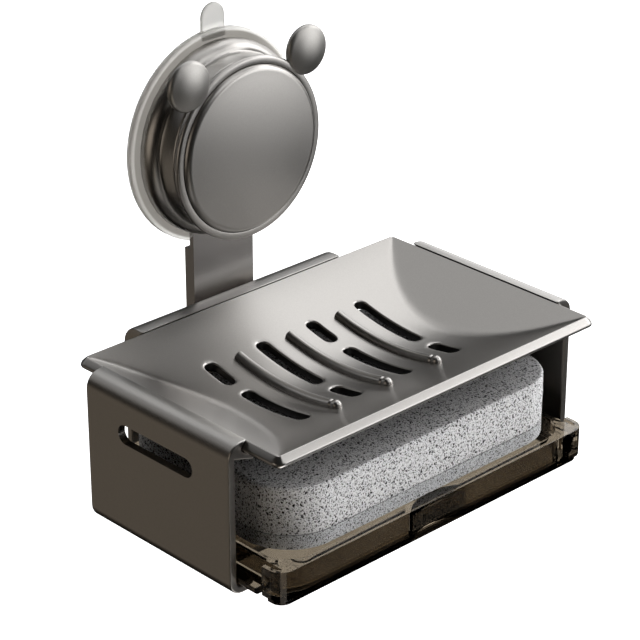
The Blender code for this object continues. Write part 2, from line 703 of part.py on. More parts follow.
def make_thrust_washer():
    """Washer between the housing's web and the knob."""
    inner = SLEEVE_RADIUS + RUNNING_GAP
    return turned("thrust_washer", [
        (WASHER_RADIUS, HOUSING_TOP),
        (WASHER_RADIUS, WASHER_BACK),
        (inner, WASHER_BACK),
        (inner, HOUSING_TOP),
    ])


def make_twist_knob():
    """Knob with a flared lip, a cover recess, a journal and two round grips."""
    lip_front = KNOB_RING_FRONT - KNOB_LIP_ROUNDING
    lip_back = lip_front - KNOB_LIP_DEPTH
    flare_back = lip_back - KNOB_LIP_FLARE_HEIGHT
    rounding = arc((KNOB_LIP_RADIUS - KNOB_LIP_ROUNDING, lip_front), KNOB_LIP_ROUNDING, 90, 0, 4)
    knob = turned("twist_knob", [
        (KNOB_RECESS_RADIUS, KNOB_RING_FRONT),
        *rounding,
        (KNOB_LIP_RADIUS, lip_back),
        (HOUSING_NECK_RADIUS, max(flare_back, KNOB_BACK + MERGE_DISTANCE)),
        (HOUSING_NECK_RADIUS - HOUSING_EDGE_CHAMFER, KNOB_BACK),
        (KNOB_JOURNAL_RADIUS, KNOB_BACK),
        (KNOB_JOURNAL_RADIUS, KNOB_JOURNAL_END),
        (KNOB_BORE_RADIUS, KNOB_JOURNAL_END),
        (KNOB_BORE_RADIUS, KNOB_HUB_TOP),
        (KNOB_HUB_RADIUS, KNOB_HUB_TOP),
        (KNOB_HUB_RADIUS, KNOB_WEB_TOP),
        (KNOB_RECESS_RADIUS, KNOB_WEB_TOP),
    ])
    rim = GRIP_BACK + GRIP_THICKNESS - GRIP_CROWN
    for side, sign in (("left", -1.0), ("right", 1.0)):
        flat = GRIP_RADIUS - GRIP_EDGE_ROUNDING
        front_edge = arc((flat, rim - GRIP_EDGE_ROUNDING), GRIP_EDGE_ROUNDING, 75, 0, GRIP_EDGE_STEPS)
        back_edge = arc((flat, GRIP_BACK + GRIP_EDGE_ROUNDING), GRIP_EDGE_ROUNDING, 0, -90, GRIP_EDGE_STEPS)
        crown = []
        for i in range(GRIP_CROWN_RINGS):
            share = i / GRIP_CROWN_RINGS
            crown.append((flat * share, rim + GRIP_CROWN * (1.0 - share ** 2)))
        grip = turned(
            "grip_" + side,
            [*crown, *front_edge, *back_edge, (0.0, GRIP_BACK)],
            screw_axis(sign * GRIP_CIRCLE * math.sin(GRIP_ANGLE), GRIP_CIRCLE * math.cos(GRIP_ANGLE)),
            SMALL_ROUND_STEPS,
            guide=True,
        )
        join(knob, grip)
    pocket_radius = (NUT_ACROSS_FLATS / 2.0 + SEAT_GAP) / math.cos(math.pi / 6.0)
    cut(knob, drum("nut_pocket", pocket_radius, NUT_BACK - SEAT_GAP, KNOB_HUB_TOP + OVERRUN, steps=6))
    return knob


def make_knob_nut():
    """Brass nut in the knob's hub."""
    radius = NUT_ACROSS_FLATS / 2.0 / math.cos(math.pi / 6.0)
    nut = drum("knob_nut", radius, NUT_BACK, NUT_BACK + NUT_LENGTH, steps=6, guide=False)
    bore = drum("nut_bore", KNOB_BORE_RADIUS, NUT_BACK - OVERRUN, NUT_BACK + NUT_LENGTH + OVERRUN)
    cut(nut, bore)
    return nut


def make_knob_cover():
    """Plain round cap that closes the knob."""
    inner = COVER_RADIUS - COVER_SKIRT
    rounding = arc((COVER_RADIUS - COVER_ROUNDING, COVER_FACE - COVER_ROUNDING), COVER_ROUNDING, 90, 0, 4)
    return turned("knob_cover", [
        (0.0, COVER_FACE),
        *rounding,
        (COVER_RADIUS, COVER_SKIRT_END),
        (inner, COVER_SKIRT_END),
        (inner, COVER_FACE - COVER_THICKNESS),
        (0.0, COVER_FACE - COVER_THICKNESS),
    ])


def slot_rows():
    """Drain slots as (x, front end, rear end), from the tray's centre."""
    short_rear = SLOT_REAR_REACH - SLOT_SHORT
    long_rear = SLOT_REAR_REACH - SLOT_LONG
    front = SLOT_REAR_REACH - SLOT_SHORT - SLOT_LAND - SLOT_LONG
    rows = []
    for i, share in enumerate((-1.5, -0.5, 0.5, 1.5)):
        x = share * RIB_SPACING
        first = short_rear if i % 2 == 0 else long_rear
        rows.append((x, first, SLOT_REAR_REACH))
        rows.append((x, front, first - SLOT_LAND))
    return rows


def tray_lines(half, cells):
    """Grid lines across the tray, with close ones at both ends for its round corners."""
    inner = half - TRAY_CORNER
    ends = [math.tan(math.radians(45.0) * i / TRAY_CORNER_CELLS) for i in range(1, TRAY_CORNER_CELLS + 1)]
    middle = [inner * (2.0 * i / cells - 1.0) for i in range(cells + 1)]
    low = [-(inner + TRAY_CORNER * share) for share in reversed(ends)]
    return low + middle + [inner + TRAY_CORNER * share for share in ends]


def rim_profile(gap, lip_end, steps=2):
    """Section of the tray's rim from the lip down, as (outset, drop), or of a seam round it."""
    lip = arc((0.0, TRAY_LIP_ROUNDING), TRAY_LIP_ROUNDING + gap, -lip_end, -30, steps)
    belly = arc((RIM_ARC_OUTSET, RIM_ARC_DROP), TRAY_EDGE_ROUNDING + gap, -30, RIM_UNDERSIDE_ANGLE, steps + 1)
    return lip + belly


def rim_vertex(x, y, outset, drop):
    """Where a vertex of the tray's grid goes when the grid's edge moves outward and down."""
    inner_x = TRAY_HALF_LENGTH - TRAY_CORNER
    inner_y = TRAY_HALF_WIDTH - TRAY_CORNER
    near_x = max(-inner_x, min(inner_x, x))
    near_y = max(-inner_y, min(inner_y, y))
    growth = (TRAY_CORNER + outset) / TRAY_CORNER
    moved_x = near_x + (x - near_x) * growth
    moved_y = near_y + (y - near_y) * growth
    share_x = TRAY_HALF_LENGTH / (TRAY_HALF_LENGTH + outset)
    share_y = TRAY_HALF_WIDTH / (TRAY_HALF_WIDTH + outset)
    return moved_x, moved_y, soap_surface(moved_x * share_x, moved_y * share_y) - drop


def tray_top(shape):
    """The tray's upper face: a unit grid, moved to the tray's lines and rounded at its corners."""
    lines_x = tray_lines(TRAY_HALF_LENGTH, TRAY_CELLS_X)
    lines_y = tray_lines(TRAY_HALF_WIDTH, TRAY_CELLS_Y)
    cells = (len(lines_x) - 1, len(lines_y) - 1)
    bmesh.ops.create_grid(shape, x_segments=cells[0], y_segments=cells[1], size=1.0)
    for vertex in shape.verts:
        x = lines_x[round((vertex.co.x + 1.0) / 2.0 * cells[0])]
        y = lines_y[round((vertex.co.y + 1.0) / 2.0 * cells[1])]
        beyond_x = abs(x) - (TRAY_HALF_LENGTH - TRAY_CORNER)
        beyond_y = abs(y) - (TRAY_HALF_WIDTH - TRAY_CORNER)
        if min(beyond_x, beyond_y) > MERGE_DISTANCE:
            pull = max(beyond_x, beyond_y) / math.hypot(beyond_x, beyond_y)
            x = math.copysign(TRAY_HALF_LENGTH - TRAY_CORNER + beyond_x * pull, x)
            y = math.copysign(TRAY_HALF_WIDTH - TRAY_CORNER + beyond_y * pull, y)
        vertex.co = (x, y, soap_surface(x, y))


def tray_body(shape):
    """Extrude the upper face step by step round the rim, and down to the underside."""
    top = shape.faces[:]
    region = top
    places = {vertex.co.copy().freeze(): (vertex.co.x, vertex.co.y) for vertex in shape.verts}
    for outset, drop in rim_profile(0.0, 75):
        pieces = bmesh.ops.extrude_face_region(shape, geom=region)["geom"]
        if region is not top:
            bmesh.ops.delete(shape, geom=region, context="FACES")
        region = [piece for piece in pieces if isinstance(piece, bmesh.types.BMFace)]
        moved = {}
        for vertex in {vertex for face in region for vertex in face.verts}:
            place = places[vertex.co.copy().freeze()]
            vertex.co = rim_vertex(*place, outset, drop)
            moved[vertex.co.copy().freeze()] = place
        places = moved
    bmesh.ops.recalc_face_normals(shape, faces=shape.faces[:])


def make_soap_tray():
    """Dished plate with sloping ends, drain slots and raised ribs."""
    shape = bmesh.new()
    tray_top(shape)
    tray_body(shape)
    mesh = bpy.data.meshes.new("soap_tray")
    shape.to_mesh(mesh)
    shape.free()
    tray = part_from_mesh("soap_tray", mesh, Matrix.Translation((0.0, TRAY_CENTRE_Y, TRAY_RIM_Z)))
    for i in range(3):
        join(tray, make_rib("tray_rib_%d" % i, (i - 1) * RIB_SPACING))
    low = TRAY_RIM_Z - TRAY_SAG - TRAY_THICKNESS - OVERRUN
    for i, (x, front, rear) in enumerate(slot_rows()):
        outline = obround(x, TRAY_CENTRE_Y + (front + rear) / 2.0, rear - front, SLOT_WIDTH)
        cut(tray, plate("drain_slot_cut_%d" % i, outline, low, TRAY_RIM_Z + OVERRUN, guide=True))
    return smooth(tray)


def make_rib(name, x):
    """A round bar, half sunk in the tray, that follows its hollow."""
    curve = bpy.data.curves.new(name, "CURVE")
    curve.dimensions = "3D"
    curve.bevel_depth = RIB_RADIUS
    curve.bevel_resolution = 2
    curve.use_fill_caps = True
    spline = curve.splines.new("POLY")
    spline.points.add(RIB_POINTS - 1)
    for i, point in enumerate(spline.points):
        y = -RIB_FRONT_REACH + (RIB_REAR_REACH + RIB_FRONT_REACH) * i / (RIB_POINTS - 1)
        point.co = (x, y, soap_surface(x, y) + RIB_AXIS_LIFT, 1.0)
    matrix = Matrix.Translation((0.0, TRAY_CENTRE_Y, TRAY_RIM_Z))
    drawing = part_from_mesh(name + "_drawing", curve, matrix, CUTTERS)
    rib = part_from_mesh(name, mesh_of(drawing), matrix, CUTTERS)
    bpy.data.objects.remove(drawing, do_unlink=True)
    return as_guide(rib)


def lip_point(edge, slope, depth, run):
    """A point below the tray's underside: depth square to it, run inward along it."""
    return (
        edge + depth * math.sin(slope) - run * math.cos(slope),
        -TRAY_THICKNESS - depth * math.cos(slope) - run * math.sin(slope),
    )


def lip_outline(half, slope, top):
    """The lip under the tray's edge, and the seam that follows its rim up to the roll's top."""
    edge = half + UNDERSIDE_OUTSET
    seam = [(half + outset, -drop) for outset, drop in reversed(rim_profile(SEAT_GAP, 30, 1))]
    (low_x, low_z), (high_x, high_z) = seam[-3], seam[-2]
    lean = (high_x - low_x) / (high_z - low_z)
    return [
        lip_point(edge, slope, SEAT_GAP + LIP_THICKNESS, LIP_LENGTH),
        lip_point(edge, slope, SEAT_GAP, LIP_LENGTH),
        *seam[:-1],
        (high_x + lean * (top - high_z), top),
    ]


def side_panel_outline():
    """Section of the right side panel across its length, from the rim plane."""
    bottom = -DISH_HEIGHT
    roll_z = SIDE_ROLL_RISE - SIDE_ROLL
    bend_x = PANEL_OUTER_X - BOTTOM_BEND
    bend_z = bottom + BOTTOM_BEND
    return [
        *arc((SIDE_SEAM_X, roll_z), SIDE_ROLL, 90, 0),
        *arc((bend_x, bend_z), BOTTOM_BEND, 0, -90),
        (FLANGE_END_X, bottom),
        (FLANGE_END_X, bottom + PANEL_THICKNESS),
        *arc((bend_x, bend_z), BOTTOM_BEND - PANEL_THICKNESS, -90, 0),
        (PANEL_INNER_X, roll_z),
        *lip_outline(TRAY_HALF_LENGTH, RAMP_SLOPE_BELOW, SIDE_ROLL_RISE),
    ]


def make_side_panel(side, sign):
    """Side panel: rolled top, hand slot and a flange that carries the drawer."""
    outline = [(sign * x, z + TRAY_RIM_Z) for x, z in side_panel_outline()]
    panel = plate("side_panel_" + side, outline, -SIDE_REAR_Y, -SIDE_FRONT_Y, FRONT_VIEW)
    round_edges(panel, PANEL_EDGE_ROUNDING)
    slot = obround(HAND_SLOT_Z, HAND_SLOT_Y, HAND_SLOT_LENGTH, HAND_SLOT_HEIGHT, 2 * ARC_STEPS)
    outline = [(y, z) for z, y in slot]
    low = PANEL_INNER_X - OVERRUN
    high = PANEL_OUTER_X + OVERRUN
    limits = (low, high) if sign > 0 else (-high, -low)
    cut(panel, plate("hand_slot_cut_" + side, outline, *limits, SIDE_VIEW, guide=True))
    return panel


def make_rear_panel():
    """Rear panel: rolled top to the tray's rear edge, screwed to the strap."""
    bottom = -DISH_HEIGHT
    roll_y = REAR_OUTER_Y - REAR_ROLL
    lip = []
    for distance, z in lip_outline(TRAY_HALF_WIDTH, EDGE_SLOPE_BELOW, 0.0):
        lip.append((TRAY_CENTRE_Y + distance, z))
    outline = [
        *arc((roll_y, -REAR_ROLL), REAR_ROLL, 90, 0),
        (REAR_OUTER_Y, bottom),
        (REAR_INNER_Y, bottom),
        (REAR_INNER_Y, -REAR_ROLL),
        *lip,
    ]
    outline = [(y, z + TRAY_RIM_Z) for y, z in outline]
    panel = plate("rear_panel", outline, -REAR_HALF_WIDTH, REAR_HALF_WIDTH, SIDE_VIEW)
    round_edges(panel, PANEL_EDGE_ROUNDING)
    for level, z in HANGER_SCREW_ZS.items():
        cut(panel, hanger_screw_cutter("panel_hole_" + level, z))
    return panel


def make_hanger_screws():
    """Pan-head screws from inside the rear panel into the strap."""
    seat = -REAR_INNER_Y + SEAT_GAP
    top = seat + HANGER_SCREW_HEAD_HEIGHT
    tip = STRAP_FRONT - HANGER_SCREW_DEPTH
    crown = HANGER_SCREW_HEAD_RADIUS * HANGER_SCREW_CROWN_SHARE
    screws = []
    for level, z in HANGER_SCREW_ZS.items():
        screws.append(turned("hanger_screw_" + level, [
            (0.0, top),
            (crown, top),
            (HANGER_SCREW_HEAD_RADIUS, (seat + top) / 2.0),
            (HANGER_SCREW_HEAD_RADIUS, seat),
            (HANGER_SCREW_RADIUS, seat),
            (HANGER_SCREW_RADIUS, tip),
            (0.0, tip),
        ], screw_axis(0.0, z), SMALL_ROUND_STEPS))
    return screws


def drawer_outline():
    """Plan of the drawer: a tub between the panels, and a head whose two wings are open behind."""
    head = HEAD_HALF_WIDTH
    front = DRAWER_FRONT_Y
    corner = DRAWER_CORNER
    wing = head - DRAWER_WING_WALL
    wing_corner = corner - DRAWER_WING_WALL
    half = TUB_HALF_WIDTH
    back = DRAWER_REAR_Y
    wing_centre = (head - corner, front + corner)
    right = [
        *arc(wing_centre, corner, 270, 360),
        (head, HEAD_REAR_Y),
        (wing, HEAD_REAR_Y),
        *arc(wing_centre, wing_corner, 0, -45, 3),
        (half, front + corner - wing_corner / math.sqrt(2.0)),
        *arc((half - DRAWER_REAR_CORNER, back - DRAWER_REAR_CORNER), DRAWER_REAR_CORNER, 0, 90),
    ]
    return right + [(-x, y) for x, y in reversed(right)]


def foot_outline():
    """Plan of the low foot under the drawer."""
    head = HEAD_HALF_WIDTH - DRAWER_FOOT_INSET
    front = DRAWER_FRONT_Y + DRAWER_FOOT_INSET
    corner = DRAWER_CORNER - DRAWER_FOOT_INSET
    half = TUB_HALF_WIDTH - DRAWER_FOOT_INSET
    back = DRAWER_REAR_Y - DRAWER_FOOT_INSET
    right = [
        *arc((head - corner, front + corner), corner, 270, 360),
        (head, HEAD_REAR_Y - DRAWER_FOOT_INSET),
        (half, HEAD_REAR_Y - DRAWER_FOOT_INSET),
        *arc((half - DRAWER_REAR_CORNER, back - DRAWER_REAR_CORNER), DRAWER_REAR_CORNER, 0, 90),
    ]
    return right + [(-x, y) for x, y in reversed(right)]


def make_drip_drawer():
    """Clear drawer: deck, drip pocket with two bars, side rails and a finger recess below."""
    drawer = plate("drip_drawer", drawer_outline(), DRAWER_FOOT_Z, DRAWER_TOP_Z)
    foot_top = DRAWER_FOOT_Z + DRAWER_FOOT_INSET
    foot = plate("drawer_foot", foot_outline(), DRAWER_BOTTOM_Z, foot_top, guide=True)
    join(drawer, foot)
    for side, sign in (("left", -1.0), ("right", 1.0)):
        outline = [(sign * x, z) for x, z in rail_outline()]
        rail_front = -(HEAD_REAR_Y - OVERRUN)
        join(drawer, plate("rail_" + side, outline, -SIDE_REAR_Y, rail_front, FRONT_VIEW, guide=True))
    pocket_outline = rounded_rectangle(
        -POCKET_HALF_LENGTH, POCKET_HALF_LENGTH, POCKET_FRONT_Y, POCKET_REAR_Y, [POCKET_CORNER] * 4
    )
    pocket = plate("drip_pocket_cut", pocket_outline, POCKET_FLOOR_Z, DRAWER_TOP_Z + OVERRUN, guide=True)
    keep_low = POCKET_FLOOR_Z - OVERRUN
    keep_high = DRAWER_TOP_Z + 2.0 * OVERRUN
    keep = drum(
        "finger_wall_keep", FINGER_ARC_RADIUS + FINGER_WALL, keep_low, keep_high,
        y=FINGER_ARC_Y, steps=ROUND_STEPS, matrix=Matrix.Identity(4),
    )
    cut(pocket, keep)
    for i, sign in enumerate((-1.0, 1.0)):
        middle = SPONGE_CENTRE_Y + sign * POCKET_BAR_OFFSET
        bar = block(
            "pocket_bar_keep_%d" % i,
            (-POCKET_HALF_LENGTH - OVERRUN, middle - POCKET_BAR_WIDTH / 2.0, keep_low),
            (POCKET_HALF_LENGTH + OVERRUN, middle + POCKET_BAR_WIDTH / 2.0, keep_high),
        )
        cut(pocket, bar)
    cut(drawer, pocket)
    recess_low = DRAWER_BOTTOM_Z - OVERRUN
    recess_top = DRAWER_TOP_Z - FINGER_ROOF
    cut(drawer, plate("finger_recess_cut", finger_outline(), recess_low, recess_top, guide=True))
    return drawer


def rail_outline():
    """Section of the right rail, rounded to follow the panel's bottom bend."""
    bend_x = PANEL_OUTER_X - BOTTOM_BEND
    bend_z = PANEL_BOTTOM_Z + BOTTOM_BEND
    rail_low = FLANGE_TOP_Z + SEAT_GAP
    inner = TUB_HALF_WIDTH - OVERRUN
    return [
        (inner, rail_low),
        *arc((bend_x, bend_z), BOTTOM_BEND - PANEL_THICKNESS - SEAT_GAP, -90, 0),
        (PANEL_INNER_X - SEAT_GAP, bend_z + RAIL_RISE),
        (inner, bend_z + RAIL_RISE),
    ]


def finger_outline():
    """Plan of the finger recess: an arc behind the drawer's front wall."""
    wall_y = DRAWER_FRONT_Y + FINGER_FRONT_WALL
    half_angle = math.degrees(math.acos((wall_y - FINGER_ARC_Y) / FINGER_ARC_RADIUS))
    return arc((0.0, FINGER_ARC_Y), FINGER_ARC_RADIUS, 90 - half_angle, 90 + half_angle, 2 * ARC_STEPS)


def sponge_outline():
    """Plan of the sponge."""
    return rounded_rectangle(
        -SPONGE_HALF_LENGTH, SPONGE_HALF_LENGTH, SPONGE_FRONT_Y, SPONGE_REAR_Y, [SPONGE_CORNER] * 4
    )


def make_sponge():
    """Sponge block with a rounded upper edge, and its bonded lower layer."""
    layer = plate("sponge_scrub_layer", sponge_outline(), SPONGE_BOTTOM_Z, SPONGE_SEAM_Z)
    sponge = plate("sponge_block", sponge_outline(), SPONGE_SEAM_Z + SEAT_GAP, SPONGE_TOP_Z)
    shape = bmesh.new()
    shape.from_mesh(sponge.data)
    weights = shape.edges.layers.float.new("bevel_weight_edge")
    top = max(vertex.co.z for vertex in shape.verts)
    for edge in shape.edges:
        if all(abs(vertex.co.z - top) < MERGE_DISTANCE for vertex in edge.verts):
            edge[weights] = 1.0
    shape.to_mesh(sponge.data)
    shape.free()
    bevel = sponge.modifiers.new("rounded_edge", "BEVEL")
    bevel.width = SPONGE_EDGE_ROUNDING
    bevel.segments = 3
    bevel.limit_method = "WEIGHT"
    return sponge, layer


def build():
    """Make every piece and paint it."""
    silicone = principled("clear_silicone", (0.78, 0.77, 0.74), 0.35, alpha=0.85)
    steel = principled("steel", (0.55, 0.55, 0.54), 0.35, 1.0)
    brass = principled("brass", (0.72, 0.55, 0.25), 0.30, 1.0)
    hard_plastic = principled("black_plastic", (0.04, 0.04, 0.04), 0.45)
    washer_plastic = principled("washer_plastic", (0.85, 0.84, 0.80), 0.40)
    grey = principled("gun_grey_finish", (0.27, 0.26, 0.245), 0.30, 0.85)
    dark_grey = principled("dark_grey_finish", (0.10, 0.095, 0.09), 0.32, 0.85)
    clear_brown = principled("smoky_clear", (0.16, 0.13, 0.10), 0.08, alpha=0.6)
    sponge_grey = principled("sponge_grey", (0.62, 0.63, 0.65), 0.90)
    layer_grey = principled("sponge_layer_grey", (0.50, 0.52, 0.55), 0.90)
    paint(silicone, make_suction_pad())
    paint(hard_plastic, make_stud_carrier())
    paint(steel, make_draw_stud(), *make_strap_screws(), *make_hanger_screws())
    paint(dark_grey, make_hanger_strap())
    paint(grey, make_mount_housing(), make_twist_knob(), make_knob_cover())
    paint(washer_plastic, make_thrust_washer())
    paint(brass, make_knob_nut())
    paint(grey, make_soap_tray(), make_rear_panel())
    paint(grey, make_side_panel("left", -1.0), make_side_panel("right", 1.0))
    paint(clear_brown, make_drip_drawer())
    sponge, layer = make_sponge()
    paint(sponge_grey, sponge)
    paint(layer_grey, layer)


build()
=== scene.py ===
"""Looks of the draining soap dish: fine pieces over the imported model, materials, light and camera.

Lengths are in metres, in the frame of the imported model: the origin is the centre of
the suction pad's wall face, +Y points into the wall and +Z is up. The angles of arcs
and lights are in degrees, and all other angles are in radians.
"""
import math

import bmesh
import bpy
from mathutils import Matrix, Vector, noise


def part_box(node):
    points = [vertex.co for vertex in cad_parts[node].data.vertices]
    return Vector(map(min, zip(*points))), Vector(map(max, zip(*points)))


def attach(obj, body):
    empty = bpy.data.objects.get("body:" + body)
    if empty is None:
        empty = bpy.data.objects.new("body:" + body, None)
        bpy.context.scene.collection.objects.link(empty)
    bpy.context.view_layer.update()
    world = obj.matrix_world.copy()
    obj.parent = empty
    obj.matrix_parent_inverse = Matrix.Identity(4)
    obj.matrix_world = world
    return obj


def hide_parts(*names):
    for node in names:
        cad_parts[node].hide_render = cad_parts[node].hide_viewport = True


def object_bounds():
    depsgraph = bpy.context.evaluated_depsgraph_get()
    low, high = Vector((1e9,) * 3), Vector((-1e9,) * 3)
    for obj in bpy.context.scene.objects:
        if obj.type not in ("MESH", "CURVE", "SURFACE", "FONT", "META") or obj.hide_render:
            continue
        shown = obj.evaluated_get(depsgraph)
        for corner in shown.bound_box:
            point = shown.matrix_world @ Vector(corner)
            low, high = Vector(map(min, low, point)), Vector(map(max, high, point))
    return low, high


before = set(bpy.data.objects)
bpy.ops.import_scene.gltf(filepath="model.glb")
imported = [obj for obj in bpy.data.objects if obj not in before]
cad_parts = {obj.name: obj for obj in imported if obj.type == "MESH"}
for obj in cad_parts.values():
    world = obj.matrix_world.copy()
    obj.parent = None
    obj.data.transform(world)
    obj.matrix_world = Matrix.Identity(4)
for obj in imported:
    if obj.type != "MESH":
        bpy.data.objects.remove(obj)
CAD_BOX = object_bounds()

# Camera, solved from the photograph
CAMERA_PLACE = (-0.47557, -0.54823, 0.28296)
CAMERA_AZIMUTH = math.radians(-43.63)
CAMERA_ELEVATION = math.radians(25.67)
CAMERA_LENS = 138.02
CAMERA_SENSOR = 36.0

# Smoothness of the fine pieces
FINE_STEPS = 144
GRIP_STEPS = 72
ARC_STEPS = 8
SMALL_ARC_STEPS = 4
BEVEL_STEPS = 3
WELD = 0.00002
FLAT_ANGLE = math.radians(0.5)
SMOOTH_ANGLE = math.radians(32.0)
RIB_SMOOTH_ANGLE = math.radians(60.0)
FOAM_SMOOTH_ANGLE = math.radians(50.0)
BEVEL_ANGLE = math.radians(48.0)
TAB_BEVEL_ANGLE = math.radians(30.0)
STRAP_ROUNDING = 0.0003
DRAWER_ROUNDING = 0.0004

# Suction pad
PAD_THICKNESS = 0.0023
PAD_LIP_ROUNDING = 0.0009
PAD_FLOOR = 0.0012
PAD_BOSS_RADIUS = 0.0145
PAD_POCKET_RADIUS = 0.0123
PAD_BOSS_HEIGHT = 0.0042
TAB_WIDTH = 0.0093
TAB_BACK = 0.0003
TAB_THICKNESS = 0.0014
TAB_ROOT = 0.0030
TAB_ROUNDING = 0.0005
TAB_STEPS = 24

# Knob, its grips and its cover
KNOB_NECK_RADIUS = 0.0283
KNOB_BACK = 0.0144
KNOB_LIP_RADIUS = 0.0298
KNOB_LIP_BACK = 0.0163
KNOB_LIP_END = -35
KNOB_RING_FRONT = 0.0180
KNOB_LIP_ROUNDING = 0.0009
KNOB_EDGE_ROUNDING = 0.0004
KNOB_FLARE_DEPTH = 3.0 * KNOB_EDGE_ROUNDING
KNOB_INNER_ROUNDING = 0.00015
KNOB_RECESS_RADIUS = 0.0274
KNOB_RECESS_FLOOR = 0.0162
KNOB_JOURNAL_RADIUS = 0.0090
KNOB_JOURNAL_END = 0.0080
KNOB_BORE_RADIUS = 0.0033
KNOB_HUB_RADIUS = 0.0082
KNOB_HUB_TOP = 0.0182
GRIP_RADIUS = 0.0081
GRIP_CIRCLE = 0.0360
GRIP_ANGLE = math.radians(42.5)
GRIP_BACK = 0.0160
GRIP_THICKNESS = 0.0040
GRIP_EDGE_ROUNDING = 0.0014
GRIP_EDGE_START = 78
GRIP_CROWN = 0.0011
GRIP_CROWN_POWER = 2.2
GRIP_RINGS = 10
COVER_ROUNDING = 0.0020
COVER_EDGE_STEPS = 16
COVER_CROWN = 0.0009
COVER_CROWN_POWER = 2
COVER_OVERLAP = 0.0002
COVER_SKIRT = 0.0016
COVER_THICKNESS = 0.0016
COVER_RINGS = 12

# Soap tray
TRAY_SAG = 0.0113
TRAY_THICKNESS = 0.0032
TRAY_FLARE = 0.0020
TRAY_RAMP_RUN = 0.0226
TRAY_CREASE = 0.0009
CREASE_BEAD = 0.00012
CREASE_BEAD_WIDTH = 0.0007
CREASE_BEAD_FADE = 0.003
TRAY_CORNER = 0.0010
TRAY_CORNER_LINES = 6
TRAY_LIP_ROUNDING = 0.0006
TRAY_LIP_START = -70
TRAY_LIP_END = -30
TRAY_EDGE_ROUNDING = 0.0012
TRAY_UNDERSIDE_ANGLE = 62.0
TRAY_CELL = 0.0007

# Ribs on the tray
RIB_COUNT = 3
RIB_SPACING = 0.0216
RIB_REAR_REACH = 0.0232
RIB_FRONT_REACH = 0.0205
RIB_RADIUS = 0.0017
RIB_LIFT = 0.0004
RIB_BEAD = 0.0014
RIB_GROOVE = 0.0003
RIB_END_ROUNDING = 0.0004
RIB_STEPS = 160
RIB_SIDES = 24

# Drain slots, four rows of a short and a long one
SLOT_ROWS = 4
SLOT_WIDTH = 0.0052
SLOT_LONG = 0.0290
SLOT_SHORT = 0.0125
SLOT_LAND = 0.0045
SLOT_REAR_REACH = 0.0262
SLOT_EDGE_ROUNDING = 0.0006
SLOT_EDGE_STEPS = 4
SLOT_OUTSET = 0.0003
SLOT_CUT_DEPTH = 0.35 * TRAY_CELL
SLOT_EDGE_REACH = 2.0 * TRAY_CELL

# Sponge, with its side steps along a short and a long side
SPONGE_CORNER = 0.0176
SPONGE_CORNER_STEPS = 24
SPONGE_SIDE_STEPS = (40, 80)
SPONGE_FOLD = 0.0011
SPONGE_FOLD_STEPS = 5
SPONGE_CELL = 0.0011
SPONGE_CAP_REACH = 0.9 * SPONGE_CORNER
SPONGE_CAP_RINGS = 15
SPONGE_WAVE = 0.00012
SPONGE_WAVE_LENGTH = 0.006
SPONGE_RIPPLE_LENGTH = 0.0022
SPONGE_RIPPLE_SHARE = 0.7

# A texture's whole range
WHOLE = (0.0, 1.0)

# Colours
WHITE = (1.0, 1.0, 1.0)
BLACK = (0.0, 0.0, 0.0)
GUN_GREY = (0.385, 0.372, 0.357)
# painted shade: the grips are the knob's own grey made a little darker
GRIP_PAINTED_SHADE_GREY = (0.36, 0.35, 0.335)
PANEL_GREY = (0.37, 0.345, 0.315)
# painted light: the rolled tops of the panels take this lighter grey for the light that falls on them
ROLL_PAINTED_LIGHT_GREY = (0.44, 0.43, 0.415)
STRAP_GREY = (0.30, 0.29, 0.285)
STEEL = (0.56, 0.56, 0.55)
BRASS = (0.74, 0.56, 0.28)
CARRIER_BLACK = (0.04, 0.04, 0.04)
WASHER_WHITE = (0.85, 0.84, 0.80)
SILICONE_RIM = (0.93, 0.92, 0.89)
# painted shade at the foot of the housing, inside the pad's rim
SILICONE_INNER_PAINTED_SHADE = (0.33, 0.315, 0.29)
SPONGE_LIGHT = (0.96, 0.96, 0.97)
SPONGE_SHADE = (0.84, 0.84, 0.86)
LAYER_LIGHT = (0.88, 0.89, 0.91)
LAYER_SHADE = (0.70, 0.71, 0.73)
SMOKY_LIGHT = (0.165, 0.138, 0.102)
SMOKY_SHADE = (0.135, 0.112, 0.082)
# painted shade on the drawer's foot, and a painted highlight on its parting line
DRAWER_FOOT_PAINTED_SHADE = (0.03, 0.028, 0.025)
DRAWER_PARTING_PAINTED_HIGHLIGHT = (5.0, 4.8, 4.6)
FLOOR_GREY = (0.8, 0.8, 0.8)

# Coated metal, with painted shade on the panels and on the drain slots' walls and painted light on the
# panels' rolls; a facing runs from -1 to 1 along an axis
METAL_TONE_SPAN = (0.35, 0.7)
METAL_FLECK_SHADE = 0.93
METAL_DRIFT = 0.02
METAL_GRAIN = 0.004
METAL_GRAIN_DEPTH = 0.00005
SHADE_FADE = 0.002
# painted shade on the panels' inside faces and front edges
INSIDE_FACING = (-0.9, -0.3)
INSIDE_PAINTED_SHADE = 0.3
FRONT_EDGE_FACING = (-0.95, -0.6)
FRONT_EDGE_PAINTED_SHADE = 0.5
# painted shade on the drain slots' walls
SLOT_WALL_FACING = (0.15, 0.45)
SLOT_WALL_PAINTED_SHADE = 0.25
SLOT_WALL_DROP = 1.5 * TRAY_THICKNESS

# Moulded plastic and turned metal
PLASTIC_TONE_SPAN = (0.3, 0.7)
MOULDED_SPECK_SHADE = 0.9
MOULDED_DRIFT = 0.15
MOULDED_GRAIN = 0.05
MOULDED_GRAIN_DEPTH = 0.0001

# Silicone, with the radii at which its tone changes; the grey inside the rim is painted shade at the
# housing's foot, and the darker tab is painted shade
PAD_INNER_RADIUS = 0.0336
PAD_RIM_RADIUS = 0.0342
PAD_TAB_RADIUS = 0.0373
# painted shade: the pull tab is the rim's silicone made darker
PAD_TAB_PAINTED_SHADE = 0.62
SILICONE_ROUGHNESS = (0.32, 0.44)

